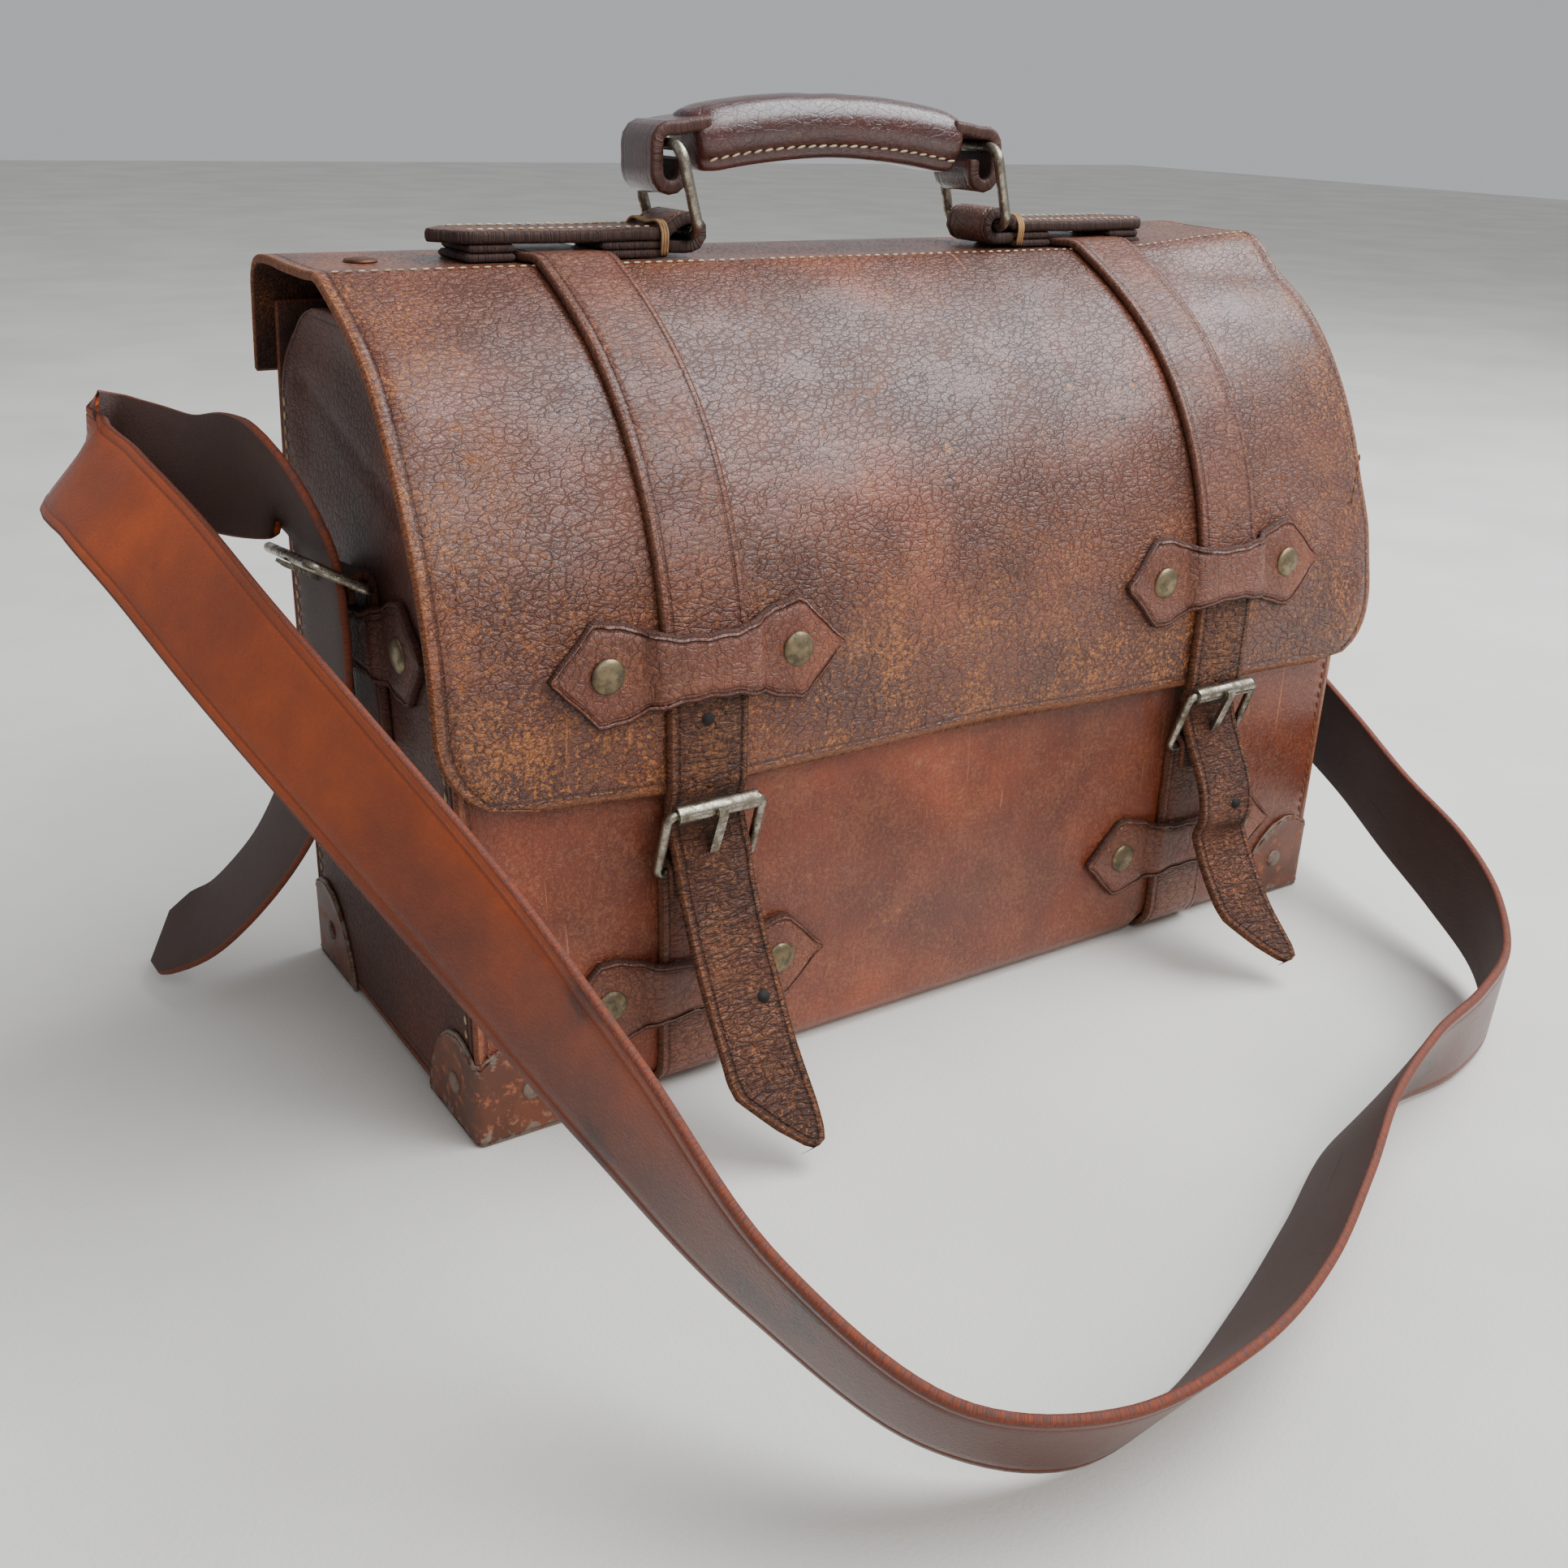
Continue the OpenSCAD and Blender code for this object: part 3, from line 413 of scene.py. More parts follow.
def rivet_tree():
    """Domed heads with a thin rim on points, each facing its point's aim."""
    tree, start, end = geometry_tree("rivet_heads", [
        ("Radius", "NodeSocketFloat", 0.0056), ("Rise", "NodeSocketFloat", 0.0016),
        ("Material", "NodeSocketMaterial", None)])
    aim = tree_node(tree, "GeometryNodeInputNamedAttribute", {"Name": "aim"}, data_type="FLOAT_VECTOR")
    turn = tree_node(tree, "FunctionNodeAlignRotationToVector", {"Vector": aim.outputs[0]}, axis="Z")
    ball = tree_node(tree, "GeometryNodeMeshUVSphere", {"Segments": 28, "Rings": 14, "Radius": 1.0})
    size = tree_node(tree, "ShaderNodeCombineXYZ", {
        "X": start.outputs["Radius"], "Y": start.outputs["Radius"], "Z": start.outputs["Rise"]})
    dome = tree_node(tree, "GeometryNodeTransform", {"Geometry": ball.outputs[0], "Scale": size.outputs[0]})
    wide = tree_node(tree, "ShaderNodeMath", {0: start.outputs["Radius"], 1: 0.96}, operation="MULTIPLY")
    disc = tree_node(tree, "GeometryNodeMeshCylinder", {
        "Vertices": 28, "Radius": wide.outputs[0], "Depth": 0.0012})
    both = tree_node(tree, "GeometryNodeJoinGeometry")
    tree.links.new(dome.outputs[0], both.inputs[0])
    tree.links.new(disc.outputs[0], both.inputs[0])
    dots = tree_node(tree, "GeometryNodeMeshToPoints", {"Mesh": start.outputs[0]})
    placed = tree_node(tree, "GeometryNodeInstanceOnPoints", {
        "Points": dots.outputs[0], "Instance": both.outputs[0], "Rotation": turn.outputs[0]})
    finish_tree(tree, start, end, placed.outputs[0])
    return tree


def stitch_tree():
    """Short slanted threads, evenly spaced along a line and lying on the surface."""
    tree, start, end = geometry_tree("stitch_row", [
        ("Pitch", "NodeSocketFloat", 0.004), ("Stitch Length", "NodeSocketFloat", 0.003),
        ("Thread", "NodeSocketFloat", 0.0008), ("Slant", "NodeSocketFloat", 0.2),
        ("Seed", "NodeSocketInt", 3), ("Material", "NodeSocketMaterial", None)])
    line = tree_node(tree, "GeometryNodeMeshToCurve", {"Mesh": start.outputs[0]})
    even = tree_node(tree, "GeometryNodeResampleCurve", {"Curve": line.outputs[0]})
    even.mode = "LENGTH"
    tree.links.new(start.outputs["Pitch"], even.inputs["Length"])
    along = tree_node(tree, "GeometryNodeInputTangent")
    aim = tree_node(tree, "GeometryNodeInputNamedAttribute", {"Name": "aim"}, data_type="FLOAT_VECTOR")
    first = tree_node(tree, "FunctionNodeAlignRotationToVector", {"Vector": along.outputs[0]}, axis="X")
    second = tree_node(tree, "FunctionNodeAlignRotationToVector", {
        "Rotation": first.outputs[0], "Vector": aim.outputs[0]}, axis="Z", pivot_axis="X")
    chance = tree_node(tree, "FunctionNodeRandomValue", {
        "Min": 0.6, "Max": 1.4, "Seed": start.outputs["Seed"]}, data_type="FLOAT")
    chance_value = [o for o in chance.outputs if o.enabled][0]
    tilt = tree_node(tree, "ShaderNodeMath", {0: start.outputs["Slant"], 1: chance_value},
                     operation="MULTIPLY")
    spin = tree_node(tree, "ShaderNodeCombineXYZ", {"Z": tilt.outputs[0]})
    turn = tree_node(tree, "FunctionNodeEulerToRotation", {"Euler": spin.outputs[0]})
    both = tree_node(tree, "FunctionNodeRotateRotation", {
        "Rotation": second.outputs[0], "Rotate By": turn.outputs[0]}, rotation_space="LOCAL")
    ball = tree_node(tree, "GeometryNodeMeshUVSphere", {"Segments": 8, "Rings": 6, "Radius": 0.5})
    size = tree_node(tree, "ShaderNodeCombineXYZ", {
        "X": start.outputs["Stitch Length"], "Y": start.outputs["Thread"], "Z": start.outputs["Thread"]})
    one = tree_node(tree, "GeometryNodeTransform", {"Geometry": ball.outputs[0], "Scale": size.outputs[0]})
    placed = tree_node(tree, "GeometryNodeInstanceOnPoints", {
        "Points": even.outputs[0], "Instance": one.outputs[0], "Rotation": both.outputs[0]})
    finish_tree(tree, start, end, placed.outputs[0])
    return tree


def grown(name, holder, tree, values, body):
    """The mesh that a Geometry Nodes tree makes from holder, riding on a body."""
    change = holder.modifiers.new("grow", "NODES")
    change.node_group = tree
    for item in tree.interface.items_tree:
        if item.item_type == "SOCKET" and item.in_out == "INPUT" and item.name in values:
            change[item.identifier] = values[item.name]
    bpy.context.view_layer.update()
    evaluated = holder.evaluated_get(bpy.context.evaluated_depsgraph_get())
    mesh = bpy.data.meshes.new_from_object(evaluated)
    mesh.name = name
    holder.modifiers.remove(change)
    bpy.data.objects.remove(holder)
    obj = bpy.data.objects.new(name, mesh)
    bpy.context.scene.collection.objects.link(obj)
    if body is not None:
        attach(obj, body)
    return obj


TREES = {}


def tree_of(make):
    """The node tree that make builds, built only once."""
    if make not in TREES:
        TREES[make] = make()
    return TREES[make]


def told(obj, replaced=()):
    """Hides the CAD nodes that a piece stands for."""
    if replaced:
        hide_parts(*replaced)
    return obj


def dress(obj, key, replaced=()):
    """Gives a piece its finish, its slot and the nodes it stands for."""
    obj.data.materials.clear()
    obj.data.materials.append(finish(key))
    return told(obj, replaced)


STITCH_SLANT, STITCH_SEED = 0.18, 3


def stitches(name, lines, body, key, pitch, length, thread):
    """Rows of stitches: each line is a list of (point, facing), all in one mesh."""
    points, aims, edges = [], [], []
    for line in lines:
        first = len(points)
        points += [p for p, _ in line]
        aims += [a for _, a in line]
        edges += [(first + i, first + i + 1) for i in range(len(line) - 1)]
    holder = point_mesh(name + "_line", points, aims, edges)
    made = grown(name, holder, tree_of(stitch_tree), {
        "Pitch": pitch * MM, "Stitch Length": length * MM, "Thread": thread * MM, "Slant": STITCH_SLANT,
        "Seed": STITCH_SEED, "Material": finish(key)}, body)
    return told(made)


def rivets(name, places, body, key, radius, rise, replaced=()):
    """Domed heads at places, each a (point, facing), all in one mesh."""
    holder = point_mesh(name + "_points", [p for p, _ in places], [a for _, a in places])
    made = grown(name, holder, tree_of(rivet_tree), {
        "Radius": radius * MM, "Rise": rise * MM, "Material": finish(key)}, body)
    return told(made, replaced)


# ---- finishes ------------------------------------------------------------
def shader_group(name, inputs, outputs):
    tree = bpy.data.node_groups.new(name, "ShaderNodeTree")
    for label, kind, value in inputs:
        socket = tree.interface.new_socket(label, in_out="INPUT", socket_type=kind)
        if value is not None:
            socket.default_value = value
    for label in outputs:
        tree.interface.new_socket(label, in_out="OUTPUT", socket_type="NodeSocketFloat")
    return tree, tree.nodes.new("NodeGroupInput"), tree.nodes.new("NodeGroupOutput")


def math_of(tree, operation, a, b=0.0, clamp=False):
    return tree_node(tree, "ShaderNodeMath", {0: a, 1: b}, operation=operation, use_clamp=clamp).outputs[0]


def times(tree, a, b):
    return math_of(tree, "MULTIPLY", a, b)


def plus(tree, a, b, clamp=False):
    return math_of(tree, "ADD", a, b, clamp)


def minus(tree, a, b, clamp=False):
    return math_of(tree, "SUBTRACT", a, b, clamp)


def most(tree, a, b):
    return math_of(tree, "MAXIMUM", a, b)


def ramp(tree, value, low, high, out_low=0.0, out_high=1.0):
    made = tree_node(tree, "ShaderNodeMapRange", {
        "Value": value, "From Min": low, "From Max": high, "To Min": out_low, "To Max": out_high},
        interpolation_type="SMOOTHSTEP")
    return made.outputs[0]


def blend_of(tree, factor, a, b, kind="MIX"):
    made = tree_node(tree, "ShaderNodeMix", {0: factor, 6: a, 7: b}, data_type="RGBA", blend_type=kind)
    return made.outputs[2]


def noise_of(tree, vector, scale, detail=4.0, rough=0.55, distortion=0.0, output=0):
    return tree_node(tree, "ShaderNodeTexNoise", {
        "Vector": vector, "Scale": scale, "Detail": detail, "Roughness": rough,
        "Distortion": distortion}).outputs[output]


def mapped(tree, vector, scale=(1, 1, 1), turn=0.0, place=(0, 0, 0)):
    return tree_node(tree, "ShaderNodeMapping", {
        "Vector": vector, "Scale": scale, "Rotation": (0, 0, turn), "Location": place}).outputs[0]


def vector_math(tree, operation, inputs):
    return tree_node(tree, "ShaderNodeVectorMath", inputs, operation=operation).outputs[0]


def cells_of(tree, vector, scale, feature="F1"):
    return tree_node(tree, "ShaderNodeTexVoronoi", {
        "Vector": vector, "Scale": scale, "Randomness": 1.0}, feature=feature)


def cracks_group():
    """Leather cracks and grain over a coordinate in metres."""
    tree, start, end = shader_group("leather_cracks", [
        ("Vector", "NodeSocketVector", None), ("Cell", "NodeSocketFloat", 180.0),
        ("Width", "NodeSocketFloat", 0.08), ("Grain", "NodeSocketFloat", 900.0)],
        ("Crack", "Grain", "Plate"))
    wander = noise_of(tree, start.outputs["Vector"], 90.0, 3.0, output="Color")
    shift = vector_math(tree, "SUBTRACT", {0: wander, 1: (0.5, 0.5, 0.5)})
    small = vector_math(tree, "SCALE", {0: shift, "Scale": 0.006})
    moved = vector_math(tree, "ADD", {0: start.outputs["Vector"], 1: small})
    cell = cells_of(tree, moved, start.outputs["Cell"], "DISTANCE_TO_EDGE")
    fine_size = times(tree, start.outputs["Cell"], 2.7)
    fine = cells_of(tree, moved, fine_size, "DISTANCE_TO_EDGE")
    where = noise_of(tree, start.outputs["Vector"], 26.0, 3.0)
    width = times(tree, start.outputs["Width"], ramp(tree, where, 0.3, 0.7, 0.25, 1.5))
    big = ramp(tree, cell.outputs["Distance"], 0.0, width, 1.0, 0.0)
    thin = ramp(tree, fine.outputs["Distance"], 0.0, width, 0.55, 0.0)
    crack = most(tree, big, thin)
    pores = cells_of(tree, start.outputs["Vector"], start.outputs["Grain"])
    hair = noise_of(tree, start.outputs["Vector"], 2200.0, 2.0)
    grain = math_of(tree, "MULTIPLY_ADD", pores.outputs["Distance"], 0.7)
    tree.links.new(hair, grain.node.inputs[2])
    plate = ramp(tree, cell.outputs["Distance"], 0.0, 0.45)
    tree.links.new(crack, end.inputs["Crack"])
    tree.links.new(grain, end.inputs["Grain"])
    tree.links.new(plate, end.inputs["Plate"])
    return tree


def wear_group():
    """Where a surface is rubbed, scratched and scuffed, and how its colour drifts."""
    tree, start, end = shader_group("hide_wear", [
        ("Vector", "NodeSocketVector", None), ("Drift", "NodeSocketFloat", 14.0),
        ("Patches", "NodeSocketFloat", 0.6), ("Scratch Turn", "NodeSocketFloat", 0.5)],
        ("Tone", "Patch", "Scratch", "Fleck"))
    tone = noise_of(tree, start.outputs["Vector"], start.outputs["Drift"], 6.0, 0.62)
    blot = noise_of(tree, mapped(tree, start.outputs["Vector"], place=(3.1, 1.7, 0.4)), 11.0, 8.0, 0.72)
    fleck = noise_of(tree, mapped(tree, start.outputs["Vector"], place=(1.3, 5.2, 0.9)), 160.0, 6.0, 0.7)
    both = math_of(tree, "MULTIPLY_ADD", fleck, 0.45)
    tree.links.new(times(tree, blot, 0.6), both.node.inputs[2])
    high = plus(tree, start.outputs["Patches"], 0.06)
    patch = ramp(tree, both, start.outputs["Patches"], high)
    turned = tree_node(tree, "ShaderNodeMapping", {
        "Vector": start.outputs["Vector"], "Scale": (14.0, 460.0, 1.0)})
    angle = tree_node(tree, "ShaderNodeCombineXYZ", {"Z": start.outputs["Scratch Turn"]})
    tree.links.new(angle.outputs[0], turned.inputs["Rotation"])
    long_lines = noise_of(tree, turned.outputs[0], 1.0, 2.0, 0.5, 0.4)
    other = mapped(tree, start.outputs["Vector"], (30.0, 700.0, 1.0), -1.15)
    short_lines = noise_of(tree, other, 1.0, 2.0, 0.5, 0.3)
    scratch = most(tree, ramp(tree, long_lines, 0.71, 0.76), ramp(tree, short_lines, 0.73, 0.78))
    apart = mapped(tree, start.outputs["Vector"], place=(7.7, 2.2, 0.1))
    abraded = noise_of(tree, apart, 620.0, 5.0, 0.72, 0.6)
    cloud = noise_of(tree, mapped(tree, start.outputs["Vector"], place=(2.7, 9.2, 0.1)), 48.0, 5.0, 0.65)
    dense = math_of(tree, "MULTIPLY_ADD", cloud, 0.45)
    tree.links.new(abraded, dense.node.inputs[2])
    tree.links.new(ramp(tree, dense, 0.72, 0.8), end.inputs["Fleck"])
    tree.links.new(tone, end.inputs["Tone"])
    tree.links.new(patch, end.inputs["Patch"])
    tree.links.new(scratch, end.inputs["Scratch"])
    return tree


def edge_group():
    """Masks for a leather piece's cut edge, flesh side, rubbed rim and pressed edge line."""
    tree, start, end = shader_group("leather_edges", [
        ("Vector", "NodeSocketVector", None), ("Rub", "NodeSocketFloat", 0.003),
        ("Line", "NodeSocketFloat", 0.0036)],
        ("Cut", "Flesh", "Rub", "Line"))
    edge = attribute_of(tree, "edge")
    side = attribute_of(tree, "side")
    rough = noise_of(tree, start.outputs["Vector"], 420.0, 5.0, 0.7)
    wave = times(tree, minus(tree, rough, 0.5), 0.005)
    bent = plus(tree, edge, wave)
    rub = ramp(tree, bent, 0.0, start.outputs["Rub"], 1.0, 0.0)
    gap = math_of(tree, "ABSOLUTE", minus(tree, edge, start.outputs["Line"]))
    line = ramp(tree, gap, 0.0002, 0.0008, 1.0, 0.0)
    grain = ramp(tree, side, 0.9, 0.99)
    flesh = ramp(tree, side, 0.02, 0.3, 1.0, 0.0)
    cut = minus(tree, minus(tree, 1.0, grain), flesh, clamp=True)
    tree.links.new(cut, end.inputs["Cut"])
    tree.links.new(flesh, end.inputs["Flesh"])
    tree.links.new(times(tree, rub, grain), end.inputs["Rub"])
    tree.links.new(times(tree, line, grain), end.inputs["Line"])
    return tree


def group_node(tree, make, inputs):
    return tree_node(tree, "ShaderNodeGroup", inputs, node_tree=tree_of(make))


def roughen(tree, shader, height, strength, distance):
    """Bump on a shader from a height, distance in metres."""
    bump = tree_node(tree, "ShaderNodeBump", {"Height": height, "Strength": strength, "Distance": distance})
    tree.links.new(bump.outputs[0], shader.inputs["Normal"])


def object_at(tree):
    return tree_node(tree, "ShaderNodeTexCoord").outputs["Object"]


def attribute_of(tree, name):
    return tree_node(tree, "ShaderNodeAttribute", attribute_name=name).outputs["Fac"]


def new_material(name):
    made = bpy.data.materials.new(name)
    made.use_nodes = True
    tree = made.node_tree
    return made, tree, tree.nodes["Principled BSDF"]


def nick_marks(tree, uv):
    """Torn nicks and long cuts in the middle of the flap: (torn centre, dark rim)."""
    at = object_at(tree)
    parts = tree_node(tree, "ShaderNodeSeparateXYZ", {"Vector": at})
    wander = noise_of(tree, uv, 260.0, 4.0, 0.7, output="Color")
    shift = vector_math(tree, "SCALE", {0: wander, "Scale": 0.007})
    dots = cells_of(tree, vector_math(tree, "ADD", {0: uv, 1: shift}), 62.0)
    keep = ramp(tree, tree_node(tree, "ShaderNodeSeparateColor", {"Color": dots.outputs["Color"]}).outputs[0],
                0.52, 0.6)
    inside = times(tree, ramp(tree, parts.outputs["X"], -0.035, -0.02),
                     ramp(tree, parts.outputs["X"], 0.085, 0.1, 1.0, 0.0))
    band = times(tree, ramp(tree, parts.outputs["Z"], 0.188, 0.2),
                   ramp(tree, parts.outputs["Z"], 0.236, 0.245, 1.0, 0.0))
    keep = times(tree, keep, times(tree, inside, band))
    centre = times(tree, ramp(tree, dots.outputs["Distance"], 0.1, 0.16, 1.0, 0.0), keep)
    rim = times(tree, ramp(tree, dots.outputs["Distance"], 0.16, 0.23, 1.0, 0.0), keep)
    return centre, rim


# Factor that darkens the cracks: painted shade in the crack recesses
CRACK_PAINTED_SHADE = (0.55, 0.55 * 0.92, 0.55 * 0.9, 1)


def leather(name, dark, mid, light, worn, cut, flesh, cell=180.0, crack=0.5, width=0.08, stretch=(1, 1, 1),
            patches=0.62, patch_mix=0.7, scratch=0.5, rub=0.003, line=0.0036, rough=(0.34, 0.62), coat=0.12,
            relief=0.7, turn=0.5, extra=None, flecks=0.3, fleck_zone=None, nicks=False):
    """Leather with a burnished grain side, cracks, scratches, rubbed edges and a fibrous flesh side."""
    worn, cut, flesh = (colour(code, 1.0) for code in (worn, cut, flesh))
    made, tree, shader = new_material(name)
    uv = tree_node(tree, "ShaderNodeUVMap", uv_map="UVMap").outputs[0]
    cracked = group_node(tree, cracks_group, {
        "Vector": mapped(tree, uv, stretch), "Cell": cell, "Width": width})
    worn_at = group_node(tree, wear_group, {"Vector": uv, "Patches": patches, "Scratch Turn": turn})
    edges = group_node(tree, edge_group, {"Vector": uv, "Rub": rub, "Line": line})
    tone = ramp(tree, worn_at.outputs["Tone"], 0.3, 0.72)
    base = blend_of(tree, tone, dark, mid)
    base = blend_of(tree, ramp(tree, worn_at.outputs["Tone"], 0.52, 0.78, 0.0, 0.75), base, light)
    if extra is not None:
        base = extra(tree, uv, base)
    crack_at = times(tree, cracked.outputs["Crack"], crack)
    # Painted shade: the cracks are darkened where their recesses would be in shadow
    base = blend_of(tree, crack_at, base, blend_of(tree, 1.0, base, CRACK_PAINTED_SHADE, "MULTIPLY"))
    base = blend_of(tree, times(tree, worn_at.outputs["Patch"], patch_mix), base, worn)
    fleck = times(tree, worn_at.outputs["Fleck"], flecks)
    if fleck_zone is not None:
        at = object_at(tree)
        parts = tree_node(tree, "ShaderNodeSeparateXYZ", {"Vector": at})
        far = attribute_of(tree, "edge")
        zone = most(tree, ramp(tree, parts.outputs["Z"], fleck_zone[0], fleck_zone[1], 1.0, 0.16),
                       ramp(tree, far, 0.012, 0.055, 0.85, 0.0))
        fleck = times(tree, fleck, zone)
    base = blend_of(tree, fleck, base, worn)
    nick = None
    if nicks:
        nick, rim_of_nick = nick_marks(tree, uv)
        base = blend_of(tree, times(tree, rim_of_nick, 0.8), base, colour("2a1210", 1.0))
        base = blend_of(tree, nick, base, colour("a8663c", 1.0))
    base = blend_of(tree, times(tree, worn_at.outputs["Scratch"], scratch), base, worn)
    base = blend_of(tree, times(tree, edges.outputs["Rub"], 0.75), base, worn)
    base = blend_of(tree, times(tree, edges.outputs["Line"], 0.75), base, dark)
    fuzz = noise_of(tree, uv, 1300.0, 4.0, 0.7)
    rim = blend_of(tree, ramp(tree, fuzz, 0.3, 0.7), cut, dark)
    base = blend_of(tree, edges.outputs["Cut"], base, rim)
    under = blend_of(tree, ramp(tree, noise_of(tree, uv, 60.0, 6.0, 0.7), 0.35, 0.7), flesh,
                     blend_of(tree, ramp(tree, fuzz, 0.35, 0.75), flesh, cut))
    base = blend_of(tree, edges.outputs["Flesh"], base, under)
    tree.links.new(base, shader.inputs["Base Color"])
    matt = most(tree, most(tree, worn_at.outputs["Patch"], edges.outputs["Rub"]),
                   most(tree, crack_at, times(tree, worn_at.outputs["Scratch"], 0.6)))
    matt = most(tree, matt, times(tree, tone, 0.25))
    matt = most(tree, matt, times(tree, fleck, 0.9))
    dull = most(tree, edges.outputs["Cut"], edges.outputs["Flesh"])
    roughness = ramp(tree, matt, 0.0, 1.0, rough[0], rough[1])
    roughness = plus(tree, roughness, times(tree, dull, 0.3), clamp=True)
    tree.links.new(roughness, shader.inputs["Roughness"])
    tree.links.new(times(tree, minus(tree, 1.0, most(tree, dull, matt)), coat),
                   shader.inputs["Coat Weight"])
    shader.inputs["Coat Roughness"].default_value = 0.28
    shader.inputs["Specular IOR Level"].default_value = 0.45
    height = times(tree, cracked.outputs["Crack"], -0.9 * crack)
    for weight, mark in (
            (0.22, cracked.outputs["Grain"]), (0.35 * crack, cracked.outputs["Plate"]),
            (-0.35 * scratch, worn_at.outputs["Scratch"]), (-0.25, worn_at.outputs["Patch"]),
            (-0.5, edges.outputs["Line"]), (0.8, times(tree, fuzz, dull)), (-0.3, fleck),
            (-0.9, nick)):
        if mark is not None:
            height = plus(tree, height, times(tree, mark, weight))
    roughen(tree, shader, height, relief, 0.0007)
    return made


def metal(name, base, stain, shine=0.3, dull=0.6, metallic=1.0, flecks=None):
    """Aged metal: tarnish in patches, fine scratches and a few dark specks."""
    made, tree, shader = new_material(name)
    at = object_at(tree)
    tarnish = ramp(tree, noise_of(tree, at, 240.0, 7.0, 0.68), 0.38, 0.68)
    speck = ramp(tree, noise_of(tree, at, 1500.0, 4.0, 0.6), 0.58, 0.72)
    tone = blend_of(tree, tarnish, tinted(base, 1.0), colour(stain, 1.0))
    tone = blend_of(tree, times(tree, speck, 0.55), tone, colour(flecks or "2a211b", 1.0))
    tree.links.new(tone, shader.inputs["Base Color"])
    tree.links.new(ramp(tree, most(tree, tarnish, speck), 0.0, 1.0, shine, dull), shader.inputs["Roughness"])
    tree.links.new(ramp(tree, speck, 0.0, 1.0, metallic, metallic * 0.5), shader.inputs["Metallic"])
    height = plus(tree, times(tree, tarnish, 0.4), times(tree, speck, -0.6))
    roughen(tree, shader, height, 0.45, 0.0003)
    return made


def enamel(name):
    """Brown enamel on steel, chipped to rust and bare metal along its rims."""
    made, tree, shader = new_material(name)
    at = object_at(tree)
    edge = attribute_of(tree, "edge")
    chips = noise_of(tree, at, 210.0, 8.0, 0.75)
    near = minus(tree, chips, times(tree, edge, 24.0))
    bare = ramp(tree, near, 0.44, 0.5)
    rust = ramp(tree, chips, 0.53, 0.6)
    tone = blend_of(tree, ramp(tree, noise_of(tree, at, 60.0, 5.0), 0.35, 0.7), tinted("enamel", 0.55),
                    tinted("enamel", 1.0))
    tone = blend_of(tree, rust, tone, colour("96583a", 1.0))
    tone = blend_of(tree, times(tree, bare, 0.8), tone, colour("8e8378", 1.0))
    tree.links.new(tone, shader.inputs["Base Color"])
    tree.links.new(times(tree, bare, 0.7), shader.inputs["Metallic"])
    tree.links.new(ramp(tree, most(tree, rust, bare), 0.0, 1.0, 0.4, 0.68), shader.inputs["Roughness"])
    height = plus(tree, times(tree, rust, -0.5), times(tree, chips, 0.5))
    roughen(tree, shader, height, 0.5, 0.0004)
    return made


def twine(name, base, shade):
    """Waxed thread with its twist."""
    made, tree, shader = new_material(name)
    at = object_at(tree)
    dirt = ramp(tree, noise_of(tree, at, 130.0, 5.0), 0.35, 0.75)
    twist = tree_node(tree, "ShaderNodeTexWave", {"Vector": at, "Scale": 700.0, "Distortion": 1.5})
    tree.links.new(blend_of(tree, dirt, tinted(base, 1.0), colour(shade, 1.0)), shader.inputs["Base Color"])
    shader.inputs["Roughness"].default_value = 0.75
    roughen(tree, shader, twist.outputs["Fac"], 0.4, 0.0002)
    return made


def cognac_fade(tree, uv, base):
    """Orange cognac high on the strap, darker below about 0.17 m, with two stains."""
    at = object_at(tree)
    parts = tree_node(tree, "ShaderNodeSeparateXYZ", {"Vector": at})
    wander = noise_of(tree, at, 16.0, 5.0, 0.65)
    level = plus(tree, parts.outputs["Z"], times(tree, minus(tree, wander, 0.5), 0.16))
    low = ramp(tree, level, 0.055, 0.17, 1.0, 0.0)
    base = blend_of(tree, times(tree, low, 0.9), base, colour("43190e", 1.0))
    stain = ramp(tree, noise_of(tree, at, 24.0, 3.0, 0.5), 0.62, 0.68)
    return blend_of(tree, times(tree, stain, 0.75), base, colour("2c100a", 1.0))


def tinted(key, factor):
    """A user colour made darker or lighter."""
    base = getattr(bpy.context.scene.satchel_colours, key)
    return tuple(min(1.0, c * factor) for c in base) + (1.0,)


def three_tones(key, low=0.36, high=1.6):
    return tinted(key, low), tinted(key, 1.0), tinted(key, high)


